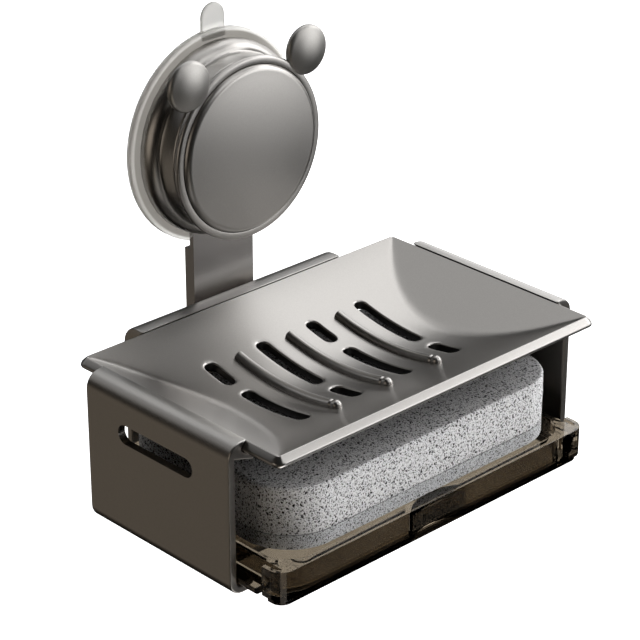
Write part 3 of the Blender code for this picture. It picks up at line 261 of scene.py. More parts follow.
# Foam, with its pores as (scale, solid centre, clear edge, least brightness); the darkness in the pores is
# painted shade
FOAM_PORES = ((2.0, 0.10, 0.55, 0.30), (1.05, 0.18, 0.42, 0.14), (0.5, 0.13, 0.27, 0.04))
FOAM_WARP = 0.9
FOAM_WARP_SCALE = 0.6
FOAM_MOTTLE_SCALE = 1.7
FOAM_MOTTLE_SPAN = (0.35, 0.65)
# painted shade: the foam's upward faces, under the tray, are darker
FOAM_TOP_FACING = (0.80, 0.95)
FOAM_TOP_PAINTED_SHADE = 0.62
FOAM_GRAIN = 0.7
FOAM_GRAIN_DEPTH = 0.0003

# Smoky plastic, and the drawer's parting line with its places across the band from foot to clear; the line's
# brightness is a painted highlight and the foot's near black is painted shade
SMOKY_ROUGHNESS = (0.02, 0.06)
DRAWER_LINE = -0.0974
DRAWER_LINE_WIDTH = 0.0008
DRAWER_FOOT_END = 0.30
DRAWER_LINE_MIDDLE = 0.46
DRAWER_CLEAR_START = 0.62
DRAWER_UPRIGHT_FACING = (0.8, 0.3)

# Studio, with its lights as (name, azimuth and elevation in degrees, power, tint)
FLOOR_DROP = 0.060
FLOOR_REACH = 6.0
LIGHT_TARGET = Vector((0.0, -0.05, -0.04))
LIGHT_DISTANCE = 1.6
LIGHT_DIAMETER = 1.2
WARM = (1.0, 0.88, 0.74)
LIGHTS = (
    ("key_right", 75, 25, 14.0, WHITE),
    ("fill_front_right", 45, 5, 10.0, WHITE),
    ("fill_front_high", 20, 45, 6.0, WHITE),
    ("floor_bounce", 20, -60, 12.0, WHITE),
    ("top", 90, 75, 4.0, WHITE),
    ("rim_rear_right", 115, 5, 5.0, WHITE),
    ("rim_rear_right_high", 115, 42, 7.0, WHITE),
    ("rim_rear_high", 165, 55, 3.0, WHITE),
    ("rim_rear_left", -160, 30, 2.0, WHITE),
    ("fill_left", -90, 5, 2.5, WARM),
    ("bounce_left", -30, -45, 3.0, WARM),
    ("bounce_rear_left", -135, -25, 0.8, WARM),
)


def cad(node):
    """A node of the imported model."""
    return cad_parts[node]


def arc(centre, radius, start, end, steps=ARC_STEPS):
    """Points along an arc, with its angles in degrees."""
    points = []
    for i in range(steps + 1):
        angle = math.radians(start + (end - start) * i / steps)
        points.append((centre[0] + radius * math.cos(angle), centre[1] + radius * math.sin(angle)))
    return points


def crown(flat, top, drop, power, rings):
    """Points of a domed face from its middle to its flat radius, as (radius, distance)."""
    return [(flat * i / rings, top - drop * (i / rings) ** power) for i in range(rings)]


def toward(azimuth, elevation):
    """Direction at an azimuth from the front and an elevation, both in radians."""
    level = math.cos(elevation)
    return Vector((math.sin(azimuth) * level, -math.cos(azimuth) * level, math.sin(elevation)))


def add_object(name, data):
    """A new object in the scene."""
    made = bpy.data.objects.new(name, data)
    bpy.context.scene.collection.objects.link(made)
    return made


def new_piece(name, shape, body, nodes, material, angle=SMOOTH_ANGLE):
    """Turn a bmesh into a smooth piece that rides on a body and stands for CAD nodes."""
    bmesh.ops.remove_doubles(shape, verts=shape.verts, dist=WELD)
    bmesh.ops.recalc_face_normals(shape, faces=shape.faces)
    mesh = bpy.data.meshes.new(name)
    shape.to_mesh(mesh)
    shape.free()
    mesh.shade_smooth()
    mesh.set_sharp_from_angle(angle=angle)
    mesh.materials.append(material)
    piece = add_object(name, mesh)
    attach(piece, body)
    if nodes:
        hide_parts(*nodes)
    return piece


def soften(piece, width, angle):
    """Round the edges of a piece that are sharper than an angle."""
    bevel = piece.modifiers.new("soft_edges", "BEVEL")
    bevel.width = width
    bevel.segments = BEVEL_STEPS
    bevel.limit_method = "ANGLE"
    bevel.angle_limit = angle


def refined(name, node, body, material, rounding=0.0):
    """A welded, smooth copy of a CAD node, with its hard edges softened."""
    shape = bmesh.new()
    shape.from_mesh(cad(node).data)
    bmesh.ops.remove_doubles(shape, verts=shape.verts, dist=WELD)
    bmesh.ops.dissolve_limit(shape, angle_limit=FLAT_ANGLE, verts=shape.verts, edges=shape.edges)
    piece = new_piece(name, shape, body, [node], material)
    if rounding:
        soften(piece, rounding, BEVEL_ANGLE)
    flat = piece.modifiers.new("level_faces", "WEIGHTED_NORMAL")
    flat.keep_sharp = True


def vertices_in(made):
    """The vertices among what a bmesh operation made."""
    return [item for item in made if isinstance(item, bmesh.types.BMVert)]


def extruded(shape, ring):
    """Extrude a ring of edges, and give the new ring's edges and vertices."""
    made = bmesh.ops.extrude_edge_only(shape, edges=ring)["geom"]
    return [item for item in made if isinstance(item, bmesh.types.BMEdge)], vertices_in(made)


def skin(shape, rings):
    """Join rings of vertices into a closed skin, with a face over each end."""
    count = len(rings[0])
    for first, second in zip(rings, rings[1:]):
        for i in range(count):
            j = (i + 1) % count
            shape.faces.new((first[i], first[j], second[j], second[i]))
    shape.faces.new(rings[0])
    shape.faces.new(rings[-1])


def turned_ring(shape, radius, distance, steps, place):
    """A ring of vertices about a line square to the wall, or one vertex repeated on the line."""
    if radius == 0.0:
        return [shape.verts.new((place[0], -distance, place[1]))] * steps
    ring = []
    for i in range(steps):
        angle = 2.0 * math.pi * i / steps
        x = place[0] + radius * math.cos(angle)
        z = place[1] + radius * math.sin(angle)
        ring.append(shape.verts.new((x, -distance, z)))
    return ring


def turned(profile, steps, place=(0.0, 0.0)):
    """A shape turned from (radius, distance from the wall) points about a line square to the wall."""
    shape = bmesh.new()
    rings = [turned_ring(shape, radius, distance, steps, place) for radius, distance in profile]
    pairs = list(zip(rings, rings[1:]))
    if profile[0][0] > 0.0:
        pairs.append((rings[-1], rings[0]))
    for first, second in pairs:
        for i in range(steps):
            j = (i + 1) % steps
            corners = []
            for vertex in (first[i], first[j], second[j], second[i]):
                if vertex not in corners:
                    corners.append(vertex)
            if len(corners) > 2:
                shape.faces.new(corners)
    return shape


def make_pad(material):
    """Silicone pad with a rounded rim, a boss and a pocket."""
    low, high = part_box("suction_pad")
    radius = (high.x - low.x) / 2.0
    rim_centre = (radius - PAD_LIP_ROUNDING, PAD_THICKNESS - PAD_LIP_ROUNDING)
    shape = turned([
        (0.0, PAD_FLOOR),
        (PAD_POCKET_RADIUS, PAD_FLOOR),
        (PAD_POCKET_RADIUS, PAD_BOSS_HEIGHT),
        (PAD_BOSS_RADIUS, PAD_BOSS_HEIGHT),
        (PAD_BOSS_RADIUS, PAD_THICKNESS),
        *arc(rim_centre, PAD_LIP_ROUNDING, 90, 0),
        (radius, 0.0),
        (0.0, 0.0),
    ], FINE_STEPS)
    new_piece("pad_skin", shape, "holder", ["suction_pad"], material)


def make_tab(material):
    """Pull tab with a round end, at the top of the pad."""
    low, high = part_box("suction_pad")
    root = (high.x - low.x) / 2.0 - TAB_ROOT
    half = TAB_WIDTH / 2.0
    outline = arc((0.0, high.z - half), half, 0, 180, TAB_STEPS)
    outline += [(-half, root), (half, root)]
    shape = bmesh.new()
    shape.faces.new([shape.verts.new((x, -TAB_BACK - TAB_THICKNESS, z)) for x, z in outline])
    made = bmesh.ops.extrude_face_region(shape, geom=shape.faces[:])["geom"]
    for vertex in vertices_in(made):
        vertex.co.y += TAB_THICKNESS
    tab = new_piece("pad_tab", shape, "holder", [], material)
    soften(tab, TAB_ROUNDING, TAB_BEVEL_ANGLE)


def make_knob(material):
    """Knob ring with its flared lip, neck, journal, bore, hub and recess."""
    inner_centre = (KNOB_RECESS_RADIUS + KNOB_INNER_ROUNDING, KNOB_RING_FRONT - KNOB_INNER_ROUNDING)
    lip_centre = (KNOB_LIP_RADIUS - KNOB_LIP_ROUNDING, KNOB_RING_FRONT - KNOB_LIP_ROUNDING)
    neck_centre = (KNOB_NECK_RADIUS - KNOB_EDGE_ROUNDING, KNOB_BACK + KNOB_EDGE_ROUNDING)
    shape = turned([
        *arc(inner_centre, KNOB_INNER_ROUNDING, 180, 90, SMALL_ARC_STEPS),
        *arc(lip_centre, KNOB_LIP_ROUNDING, 90, KNOB_LIP_END),
        (KNOB_NECK_RADIUS + KNOB_EDGE_ROUNDING, KNOB_LIP_BACK - KNOB_EDGE_ROUNDING),
        (KNOB_NECK_RADIUS, KNOB_LIP_BACK - KNOB_FLARE_DEPTH),
        *arc(neck_centre, KNOB_EDGE_ROUNDING, 0, -90, SMALL_ARC_STEPS),
        (KNOB_JOURNAL_RADIUS, KNOB_BACK),
        (KNOB_JOURNAL_RADIUS, KNOB_JOURNAL_END),
        (KNOB_BORE_RADIUS, KNOB_JOURNAL_END),
        (KNOB_BORE_RADIUS, KNOB_HUB_TOP),
        (KNOB_HUB_RADIUS, KNOB_HUB_TOP),
        (KNOB_HUB_RADIUS, KNOB_RECESS_FLOOR),
        (KNOB_RECESS_RADIUS, KNOB_RECESS_FLOOR),
    ], FINE_STEPS)
    new_piece("knob_ring", shape, "knob", ["twist_knob"], material)


def make_grips(material):
    """Two plain domed grips at the knob's upper edge."""
    flat = GRIP_RADIUS - GRIP_EDGE_ROUNDING
    top = GRIP_BACK + GRIP_THICKNESS
    front_centre = (flat, top - GRIP_CROWN - GRIP_EDGE_ROUNDING)
    back_centre = (flat, GRIP_BACK + GRIP_EDGE_ROUNDING)
    profile = [
        *crown(flat, top, GRIP_CROWN, GRIP_CROWN_POWER, GRIP_RINGS),
        *arc(front_centre, GRIP_EDGE_ROUNDING, GRIP_EDGE_START, 0),
        *arc(back_centre, GRIP_EDGE_ROUNDING, 0, -90),
        (0.0, GRIP_BACK),
    ]
    for side, sign in (("left", -1.0), ("right", 1.0)):
        place = (sign * GRIP_CIRCLE * math.sin(GRIP_ANGLE), GRIP_CIRCLE * math.cos(GRIP_ANGLE))
        shape = turned(profile, GRIP_STEPS, place)
        new_piece("knob_grip_" + side, shape, "knob", [], material)


def make_cover(material):
    """Slightly crowned round cap with a full edge."""
    low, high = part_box("knob_cover")
    radius = (high.x - low.x) / 2.0 + COVER_OVERLAP
    face = -low.y
    skirt_end = -high.y
    flat = radius - COVER_ROUNDING
    edge_centre = (flat, face - COVER_CROWN - COVER_ROUNDING)
    shape = turned([
        *crown(flat, face, COVER_CROWN, COVER_CROWN_POWER, COVER_RINGS),
        *arc(edge_centre, COVER_ROUNDING, 90, 0, COVER_EDGE_STEPS),
        (radius, skirt_end),
        (radius - COVER_SKIRT, skirt_end),
        (radius - COVER_SKIRT, face - COVER_THICKNESS),
        (0.0, face - COVER_THICKNESS),
    ], FINE_STEPS)
    new_piece("cover_cap", shape, "knob", ["knob_cover"], material)


class Tray:
    """The tray's sizes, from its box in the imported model."""

    def __init__(self):
        low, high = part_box("soap_tray")
        self.half_length = (high.x - low.x) / 2.0 - TRAY_FLARE
        self.half_width = (high.y - low.y) / 2.0 - TRAY_FLARE
        self.centre_y = (high.y + low.y) / 2.0
        self.rim_z = high.z
        self.trough = (self.half_width ** 2 + TRAY_SAG ** 2) / (2.0 * TRAY_SAG)

    def height(self, x, y):
        """Height of the upper face above the rim plane."""
        drop = math.sqrt(self.trough ** 2 - min(abs(y), self.half_width) ** 2)
        hollow = self.trough - TRAY_SAG - drop
        ramp = (min(abs(x), self.half_length) - self.half_length) * TRAY_SAG / TRAY_RAMP_RUN
        depth = max(-max(hollow, ramp), 0.0)
        soft = TRAY_CREASE * math.sqrt(depth / TRAY_SAG)
        bead = math.exp(-((hollow - ramp) / CREASE_BEAD_WIDTH) ** 2) * min(depth / CREASE_BEAD_FADE, 1.0)
        smooth = (hollow + ramp + math.sqrt((hollow - ramp) ** 2 + soft ** 2)) / 2.0
        return smooth + CREASE_BEAD * bead

    def place(self, x, y, lift=0.0):
        """A point of the upper face in the frame."""
        return Vector((x, self.centre_y + y, self.rim_z + self.height(x, y) + lift))

    def moved(self, x, y, outset, drop):
        """Where a vertex goes when the grid's edge moves outward and down."""
        near_x = max(TRAY_CORNER - self.half_length, min(self.half_length - TRAY_CORNER, x))
        near_y = max(TRAY_CORNER - self.half_width, min(self.half_width - TRAY_CORNER, y))
        growth = (TRAY_CORNER + outset) / TRAY_CORNER
        new_x = near_x + (x - near_x) * growth
        new_y = near_y + (y - near_y) * growth
        share_x = self.half_length / (self.half_length + outset)
        share_y = self.half_width / (self.half_width + outset)
        height = self.height(new_x * share_x, new_y * share_y)
        return Vector((new_x, self.centre_y + new_y, self.rim_z + height - drop))

    def rounded(self, x, y):
        """Where a point of the square grid goes when the plan's corners are round."""
        inner_x = self.half_length - TRAY_CORNER
        inner_y = self.half_width - TRAY_CORNER
        beyond_x = abs(x) - inner_x
        beyond_y = abs(y) - inner_y
        if min(beyond_x, beyond_y) <= WELD:
            return x, y
        pull = max(beyond_x, beyond_y) / math.hypot(beyond_x, beyond_y)
        return math.copysign(inner_x + beyond_x * pull, x), math.copysign(inner_y + beyond_y * pull, y)


def slot_rows():
    """Drain slots as (x, front end, rear end), from the tray's centre."""
    rows = []
    for i in range(SLOT_ROWS):
        x = (i - (SLOT_ROWS - 1) / 2.0) * RIB_SPACING
        first = SLOT_REAR_REACH - (SLOT_SHORT if i % 2 == 0 else SLOT_LONG)
        front = SLOT_REAR_REACH - SLOT_SHORT - SLOT_LAND - SLOT_LONG
        rows.append((x, first, SLOT_REAR_REACH))
        rows.append((x, front, first - SLOT_LAND))
    return rows


def slot_distance(x, y, row):
    """Distance of a point from a slot's outline, and the direction away from the slot."""
    middle, front, rear = row
    near = max(front + SLOT_WIDTH / 2.0, min(rear - SLOT_WIDTH / 2.0, y))
    away = Vector((x - middle, y - near))
    if away.length < WELD:
        away = Vector((WELD, 0.0))
    return away.length - SLOT_WIDTH / 2.0 - SLOT_OUTSET, away.normalized()


def draw_in(vertex, row, inset):
    """Move a vertex of the plan onto a slot's outline, or inside it by an inset."""
    distance, away = slot_distance(vertex.co.x, vertex.co.y, row)
    vertex.co.x -= away.x * (inset + distance)
    vertex.co.y -= away.y * (inset + distance)


def grid_lines(half):
    """Grid lines across the tray, with close ones at both ends for its round corners."""
    inner = half - TRAY_CORNER
    count = round(2.0 * inner / TRAY_CELL)
    ends = []
    for i in range(1, TRAY_CORNER_LINES + 1):
        ends.append(inner + TRAY_CORNER * math.tan(math.radians(45.0) * i / TRAY_CORNER_LINES))
    middle = [inner * (2.0 * i / count - 1.0) for i in range(count + 1)]
    return [-end for end in reversed(ends)] + middle + ends


def tray_plan(tray):
    """The tray's plan as a grid with round corners, flat in x and y."""
    shape = bmesh.new()
    lines_y = grid_lines(tray.half_width)
    grid = []
    for x in grid_lines(tray.half_length):
        grid.append([shape.verts.new((*tray.rounded(x, y), 0.0)) for y in lines_y])
    for first, second in zip(grid, grid[1:]):
        for j in range(len(lines_y) - 1):
            shape.faces.new((first[j], second[j], second[j + 1], first[j + 1]))
    return shape


def cut_slots(shape, rows):
    """Open the slots in the plan, and give the ring of edges that runs round each opening."""
    inside = set()
    for vertex in shape.verts:
        if any(slot_distance(vertex.co.x, vertex.co.y, row)[0] < -SLOT_CUT_DEPTH for row in rows):
            inside.add(vertex)
    gone = [face for face in shape.faces if any(vertex in inside for vertex in face.verts)]
    bmesh.ops.delete(shape, geom=gone, context="FACES")
    loops = [[] for _ in rows]
    for edge in shape.edges:
        if edge.is_boundary:
            middle = (edge.verts[0].co + edge.verts[1].co) / 2.0
            for row, loop in zip(rows, loops):
                if slot_distance(middle.x, middle.y, row)[0] < SLOT_EDGE_REACH:
                    loop.append(edge)
    for row, loop in zip(rows, loops):
        for vertex in {vertex for edge in loop for vertex in edge.verts}:
            draw_in(vertex, row, 0.0)
    return loops


def slot_wall(shape, row, ring):
    """Round a slot's upper edge and add its wall, as vertices with how far each goes down."""
    wall = []
    for i in range(1, SLOT_EDGE_STEPS + 1):
        turn = math.radians(90.0 * i / SLOT_EDGE_STEPS)
        ring, vertices = extruded(shape, ring)
        for vertex in vertices:
            draw_in(vertex, row, SLOT_EDGE_ROUNDING * math.sin(turn))
            wall.append((vertex, SLOT_EDGE_ROUNDING * (1.0 - math.cos(turn))))
    _, vertices = extruded(shape, ring)
    wall += [(vertex, TRAY_THICKNESS - SLOT_EDGE_ROUNDING) for vertex in vertices]
    return wall


def rim_profile():
    """Section of the rim from the lip down, as (outset, drop)."""
    belly_drop = TRAY_THICKNESS - TRAY_EDGE_ROUNDING * math.sin(math.radians(TRAY_UNDERSIDE_ANGLE))
    belly_centre = (TRAY_FLARE - TRAY_EDGE_ROUNDING, belly_drop)
    lip = arc((0.0, TRAY_LIP_ROUNDING), TRAY_LIP_ROUNDING, TRAY_LIP_START, TRAY_LIP_END, SMALL_ARC_STEPS)
    return lip + arc(belly_centre, TRAY_EDGE_ROUNDING, TRAY_LIP_END, TRAY_UNDERSIDE_ANGLE)


def make_tray(tray, material):
    """Dished tray with a rounded rim and soft-edged drain slots."""
    shape = tray_plan(tray)
    rows = slot_rows()
    loops = cut_slots(shape, rows)
    in_loops = {edge for loop in loops for edge in loop}
    rim = [edge for edge in shape.edges if edge.is_boundary and edge not in in_loops]
    upper = [(vertex, 0.0) for vertex in shape.verts]
    upper_faces = shape.faces[:]
    for row, loop in zip(rows, loops):
        upper += slot_wall(shape, row, loop)
    outer = []
    for outset, drop in rim_profile():
        rim, vertices = extruded(shape, rim)
        outer.append((vertices, outset, drop))
    under = vertices_in(bmesh.ops.duplicate(shape, geom=upper_faces)["geom"])
    outer.append((under, *rim_profile()[-1]))
    for vertices, outset, drop in outer:
        for vertex in vertices:
            vertex.co = tray.moved(vertex.co.x, vertex.co.y, outset, drop)
    for vertex, sink in upper:
        vertex.co = tray.place(vertex.co.x, vertex.co.y, -sink)
    new_piece("tray_shell", shape, "holder", ["soap_tray"], material)


def rib_cap(end, inner, rounding):
    """Points and radii that close a rib beyond its end."""
    outward = (end - inner).normalized()
    cap = []
    for i in range(1, ARC_STEPS + 1):
        angle = math.pi / 2.0 * i / ARC_STEPS
        radius = RIB_RADIUS - rounding * (1.0 - math.cos(angle))
        cap.append((end + outward * rounding * math.sin(angle), radius))
    return cap


def rib_path(tray, x):
    """A rib's middle line with its radius at each point, a fine groove and round ends."""
    path = []
    for i in range(RIB_STEPS + 1):
        y = -RIB_FRONT_REACH + (RIB_REAR_REACH + RIB_FRONT_REACH) * i / RIB_STEPS
        groove = math.exp(-((y + RIB_FRONT_REACH - RIB_BEAD) / RIB_GROOVE) ** 2)
        path.append((tray.place(x, y, RIB_LIFT), RIB_RADIUS - RIB_GROOVE * groove))
    front = rib_cap(path[0][0], path[1][0], RIB_RADIUS)
    rear = rib_cap(path[-1][0], path[-2][0], RIB_END_ROUNDING)
    return front[::-1] + path + rear


def rib_ring(shape, point, radius, ahead):
    """A ring of vertices round a point of a rib, square to the way ahead."""
    across = Vector((1.0, 0.0, 0.0))
    up = ahead.cross(across).normalized()
    ring = []
    for i in range(RIB_SIDES):
        angle = 2.0 * math.pi * i / RIB_SIDES
        offset = across * math.cos(angle) + up * math.sin(angle)
        ring.append(shape.verts.new(point + offset * max(radius, WELD)))
    return ring


def make_ribs(tray, material):
    """Three round bars with round ends that follow the tray's hollow."""
    for number in range(RIB_COUNT):
        path = rib_path(tray, (number - (RIB_COUNT - 1) / 2.0) * RIB_SPACING)
        shape = bmesh.new()
        rings = []
        for i, (point, radius) in enumerate(path):
            ahead = path[min(i + 1, len(path) - 1)][0] - path[max(i - 1, 0)][0]
            rings.append(rib_ring(shape, point, radius, ahead))
        skin(shape, rings)
        name = "tray_rib_%d" % (number + 1)
        new_piece(name, shape, "holder", [], material, RIB_SMOOTH_ANGLE)


def sponge_ring(low, high, inset):
    """Plan of the sponge, drawn in by an inset, as closely spaced points."""
    corner = SPONGE_CORNER - inset
    left, right = low.x + inset + corner, high.x - inset - corner
    front, rear = low.y + inset + corner, high.y - inset - corner
    centres = ((right, front, -90), (right, rear, 0), (left, rear, 90), (left, front, 180))
    corners = [arc((x, y), corner, start, start + 90, SPONGE_CORNER_STEPS) for x, y, start in centres]
    points = []
    for i, turn in enumerate(corners):
        points += turn
        start, end = Vector(turn[-1]), Vector(corners[(i + 1) % len(corners)][0])
        steps = SPONGE_SIDE_STEPS[i % 2]
        for j in range(1, steps):
            points.append(tuple(start.lerp(end, j / steps)))
    return points


def foam_levels(low, high, fold):
    """Levels from the middle of a foam block's bottom to the middle of its top, as (inset, height)."""
    step = SPONGE_CAP_REACH / SPONGE_CAP_RINGS
    levels = [(step * i, low.z) for i in range(SPONGE_CAP_RINGS - 1, 0, -1)]
    rise = high.z - low.z - fold
    steps = round(rise / SPONGE_CELL)
    levels += [(0.0, low.z + rise * i / steps) for i in range(steps + 1)]
    if fold:
        for i in range(1, SPONGE_FOLD_STEPS + 1):
            angle = math.radians(90.0 * i / SPONGE_FOLD_STEPS)
            levels.append((fold * (1.0 - math.cos(angle)), high.z - fold + fold * math.sin(angle)))
    levels += [(fold + step * i, high.z) for i in range(1, SPONGE_CAP_RINGS)]
    return levels


def foam_point(point, centre, seed):
    """A point of a foam block's skin, drawn in a little by a fine wave."""
    wave = noise.noise(point / SPONGE_WAVE_LENGTH + Vector((seed, 0.0, 0.0)))
    wave += SPONGE_RIPPLE_SHARE * noise.noise(point / SPONGE_RIPPLE_LENGTH + Vector((0.0, seed, 0.0)))
    return point + (centre - point).normalized() * SPONGE_WAVE * (1.0 + wave)


def make_foam(name, node, fold, material, seed):
    """A foam block with a crisp fold at its top, closed by rings towards its middle."""
    low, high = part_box(node)
    centre = (low + high) / 2.0
    shape = bmesh.new()
    rings = []
    for inset, z in foam_levels(low, high, fold):
        points = [foam_point(Vector((x, y, z)), centre, seed) for x, y in sponge_ring(low, high, inset)]
        rings.append([shape.verts.new(point) for point in points])
    skin(shape, rings)
    foam = new_piece(name, shape, "sponge", [node], material, FOAM_SMOOTH_ANGLE)


def link(tree, output, target):
    """Join two node sockets."""
    tree.links.new(output, target)


def set_values(node, **values):
    """Set a node's own settings, and its inputs by their names with underscores for spaces."""
    for key, value in values.items():
        if hasattr(node, key):
            setattr(node, key, value)
        else:
            node.inputs[key.replace("_", " ")].default_value = value


def add_node(tree, kind, **values):
    """A new shader node with its settings and inputs."""
    node = tree.nodes.new(kind)
    set_values(node, **values)
    return node


def blank(name):
    """A new material with its tree, its plain Principled shader and its coordinates."""
    material = bpy.data.materials.new(name)
    material.use_nodes = True
    tree = material.node_tree
    return material, tree, tree.nodes["Principled BSDF"], add_node(tree, "ShaderNodeTexCoord").outputs


def add_noise(tree, place, **values):
    """A noise texture over the object's own space."""
    node = add_node(tree, "ShaderNodeTexNoise", **values)
    link(tree, place["Object"], node.inputs["Vector"])
    return node.outputs


def axes(tree, vector):
    """The X, Y and Z of a vector."""
    node = add_node(tree, "ShaderNodeSeparateXYZ")
    link(tree, vector, node.inputs["Vector"])
    return node.outputs


def reckon(tree, operation, *values):
    """A math node's value."""
    node = add_node(tree, "ShaderNodeMath", operation=operation)
    for value, target in zip(values, node.inputs):
        link(tree, value, target)
    return node.outputs["Value"]


def spread(tree, value, span, low=0.0, high=1.0, curve="LINEAR"):
    """A value's way across a span, spread over the range from low to high."""
    start, end = span
    node = add_node(
        tree, "ShaderNodeMapRange", interpolation_type=curve,
        From_Min=start, From_Max=end, To_Min=low, To_Max=high
    )
    link(tree, value, node.inputs["Value"])
    return node.outputs["Result"]


def ramp(tree, value, span, first, second, *stops):
    """A colour that runs from one to another over a span, with any stops as (place, colour)."""
    node = add_node(tree, "ShaderNodeValToRGB")
    elements = node.color_ramp.elements
    elements[0].position, elements[1].position = span
    elements[0].color = (*first, 1.0)
    elements[1].color = (*second, 1.0)
    for place, color in stops:
        elements.new(place).color = (*color, 1.0)
    link(tree, value, node.inputs["Fac"])
    return node.outputs["Color"]


def mixed(tree, share, first, second, kind="MIX"):
    """Two colours mixed by a share, each from a socket or given as plain numbers."""
    node = add_node(tree, "ShaderNodeMix", data_type="RGBA", blend_type=kind)
    link(tree, share, node.inputs["Factor"])
    for name, color in (("A", first), ("B", second)):
        if isinstance(color, tuple):
            node.inputs[name].default_value = (*color, 1.0)
        else:
            link(tree, color, node.inputs[name])
    return node.outputs["Result"]


def shaded(color, share):
    """A plain colour made darker."""
    return tuple(share * part for part in color)


def paint(tree, shader, color, roughness):
    """Join a colour and a roughness to a shader."""
    link(tree, color, shader.inputs["Base Color"])
    link(tree, roughness, shader.inputs["Roughness"])


def add_bump(tree, shader, height, strength, depth):
    """Give a shader's surface a grain from a height."""
    bump = add_node(tree, "ShaderNodeBump", Strength=strength, Distance=depth)
    link(tree, height, bump.inputs["Height"])
    link(tree, bump.outputs["Normal"], shader.inputs["Normal"])


def metal_finish(name, color, roughness):
    """Coated metal: fine spray grain, slow drift of gloss and slight darkening in its flecks."""
    material, tree, shader, place = blank(name)
    fleck = add_noise(tree, place, Scale=2600.0, Detail=2.0, Roughness=0.6)["Fac"]
    drift = add_noise(tree, place, Scale=34.0, Detail=3.0, Roughness=0.5)["Fac"]
    tone = ramp(tree, fleck, METAL_TONE_SPAN, shaded(color, METAL_FLECK_SHADE), color)
    gloss = spread(tree, drift, WHOLE, roughness - METAL_DRIFT, roughness + METAL_DRIFT)
    paint(tree, shader, tone, gloss)
    add_bump(tree, shader, fleck, METAL_GRAIN, METAL_GRAIN_DEPTH)
    set_values(shader, Metallic=1.0)
    return material


def surface_of(material):
    """A finished material's tree, its colour, and each spot's place and facing as axes."""
    tree = material.node_tree
    color = tree.nodes["Principled BSDF"].inputs["Base Color"].links[0].from_socket
    place = add_node(tree, "ShaderNodeTexCoord").outputs
    return tree, color, axes(tree, place["Object"]), axes(tree, place["Normal"])


def recolor(tree, share, color):
    """Give a tree's shader a colour that darkens to black as a share falls from 1 to 0."""
    link(tree, mixed(tree, share, BLACK, color), tree.nodes["Principled BSDF"].inputs["Base Color"])


def paint_panel_light_and_shade(material, below):
    """Paint shade on the faces towards the middle plane, X = 0, below a height, and on the front edges, and
    paint light above that height as a lighter grey on the rolls.
    """
    tree, color, spot, facing = surface_of(material)
    outward = reckon(tree, "MULTIPLY", reckon(tree, "SIGN", spot["X"]), facing["X"])
    # painted shade on the inside faces and on the front edges
    inside = spread(tree, outward, INSIDE_FACING, INSIDE_PAINTED_SHADE)
    above = spread(tree, spot["Z"], (below - SHADE_FADE, below))
    edge = spread(tree, facing["Y"], FRONT_EDGE_FACING, FRONT_EDGE_PAINTED_SHADE)
    shade = reckon(tree, "MULTIPLY", reckon(tree, "MAXIMUM", inside, above), edge)
    # painted light: above the height, the rolls take a lighter grey
    recolor(tree, shade, mixed(tree, above, color, ROLL_PAINTED_LIGHT_GREY))


def paint_shade_on_slot_walls(material, below):
    """Paint shade on the upright faces below a height, which are the drain slots' walls, darkening them."""
    tree, color, spot, facing = surface_of(material)
    wall = spread(tree, reckon(tree, "ABSOLUTE", facing["Z"]), SLOT_WALL_FACING, SLOT_WALL_PAINTED_SHADE)
    above = spread(tree, spot["Z"], (below - SHADE_FADE, below))
    recolor(tree, reckon(tree, "MAXIMUM", wall, above), color)


def moulded(name, color, roughness, metallic=0.0):
    """Moulded plastic or turned metal with a fine surface grain."""
    material, tree, shader, place = blank(name)
    speck = add_noise(tree, place, Scale=900.0, Detail=3.0, Roughness=0.55)["Fac"]
    tone = ramp(tree, speck, PLASTIC_TONE_SPAN, shaded(color, MOULDED_SPECK_SHADE), color)
    low, high = roughness * (1.0 - MOULDED_DRIFT), roughness * (1.0 + MOULDED_DRIFT)
    paint(tree, shader, tone, spread(tree, speck, WHOLE, low, high))
    add_bump(tree, shader, speck, MOULDED_GRAIN, MOULDED_GRAIN_DEPTH)
    set_values(shader, IOR=1.46, Metallic=metallic)
    return material


def milky_silicone():
    """Translucent silicone with faint clouding, grey inside its thick rim as painted shade at the housing's
    foot, and with a darker tab as painted shade.
    """
    material, tree, shader, place = blank("milky_silicone")
    cloud = add_noise(tree, place, Scale=300.0, Detail=3.0, Roughness=0.55)["Fac"]
    flat = add_node(tree, "ShaderNodeVectorMath", operation="MULTIPLY")
    link(tree, place["Object"], flat.inputs[0])
    flat.inputs[1].default_value = (1.0, 0.0, 1.0)
    reach = add_node(tree, "ShaderNodeVectorMath", operation="LENGTH")
    link(tree, flat.outputs["Vector"], reach.inputs[0])
    share = spread(tree, reach.outputs["Value"], (PAD_INNER_RADIUS, PAD_TAB_RADIUS))
    stops = []
    for radius in (PAD_RIM_RADIUS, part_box("suction_pad")[1].x):
        stops.append(((radius - PAD_INNER_RADIUS) / (PAD_TAB_RADIUS - PAD_INNER_RADIUS), SILICONE_RIM))
    # painted shade on the pull tab
    tab = shaded(SILICONE_RIM, PAD_TAB_PAINTED_SHADE)
    tone = ramp(tree, share, WHOLE, SILICONE_INNER_PAINTED_SHADE, tab, *stops)
    paint(tree, shader, tone, spread(tree, cloud, WHOLE, *SILICONE_ROUGHNESS))
    add_bump(tree, shader, cloud, MOULDED_GRAIN, MOULDED_GRAIN_DEPTH)
    set_values(shader, Transmission_Weight=0.7, IOR=1.41)
    return material


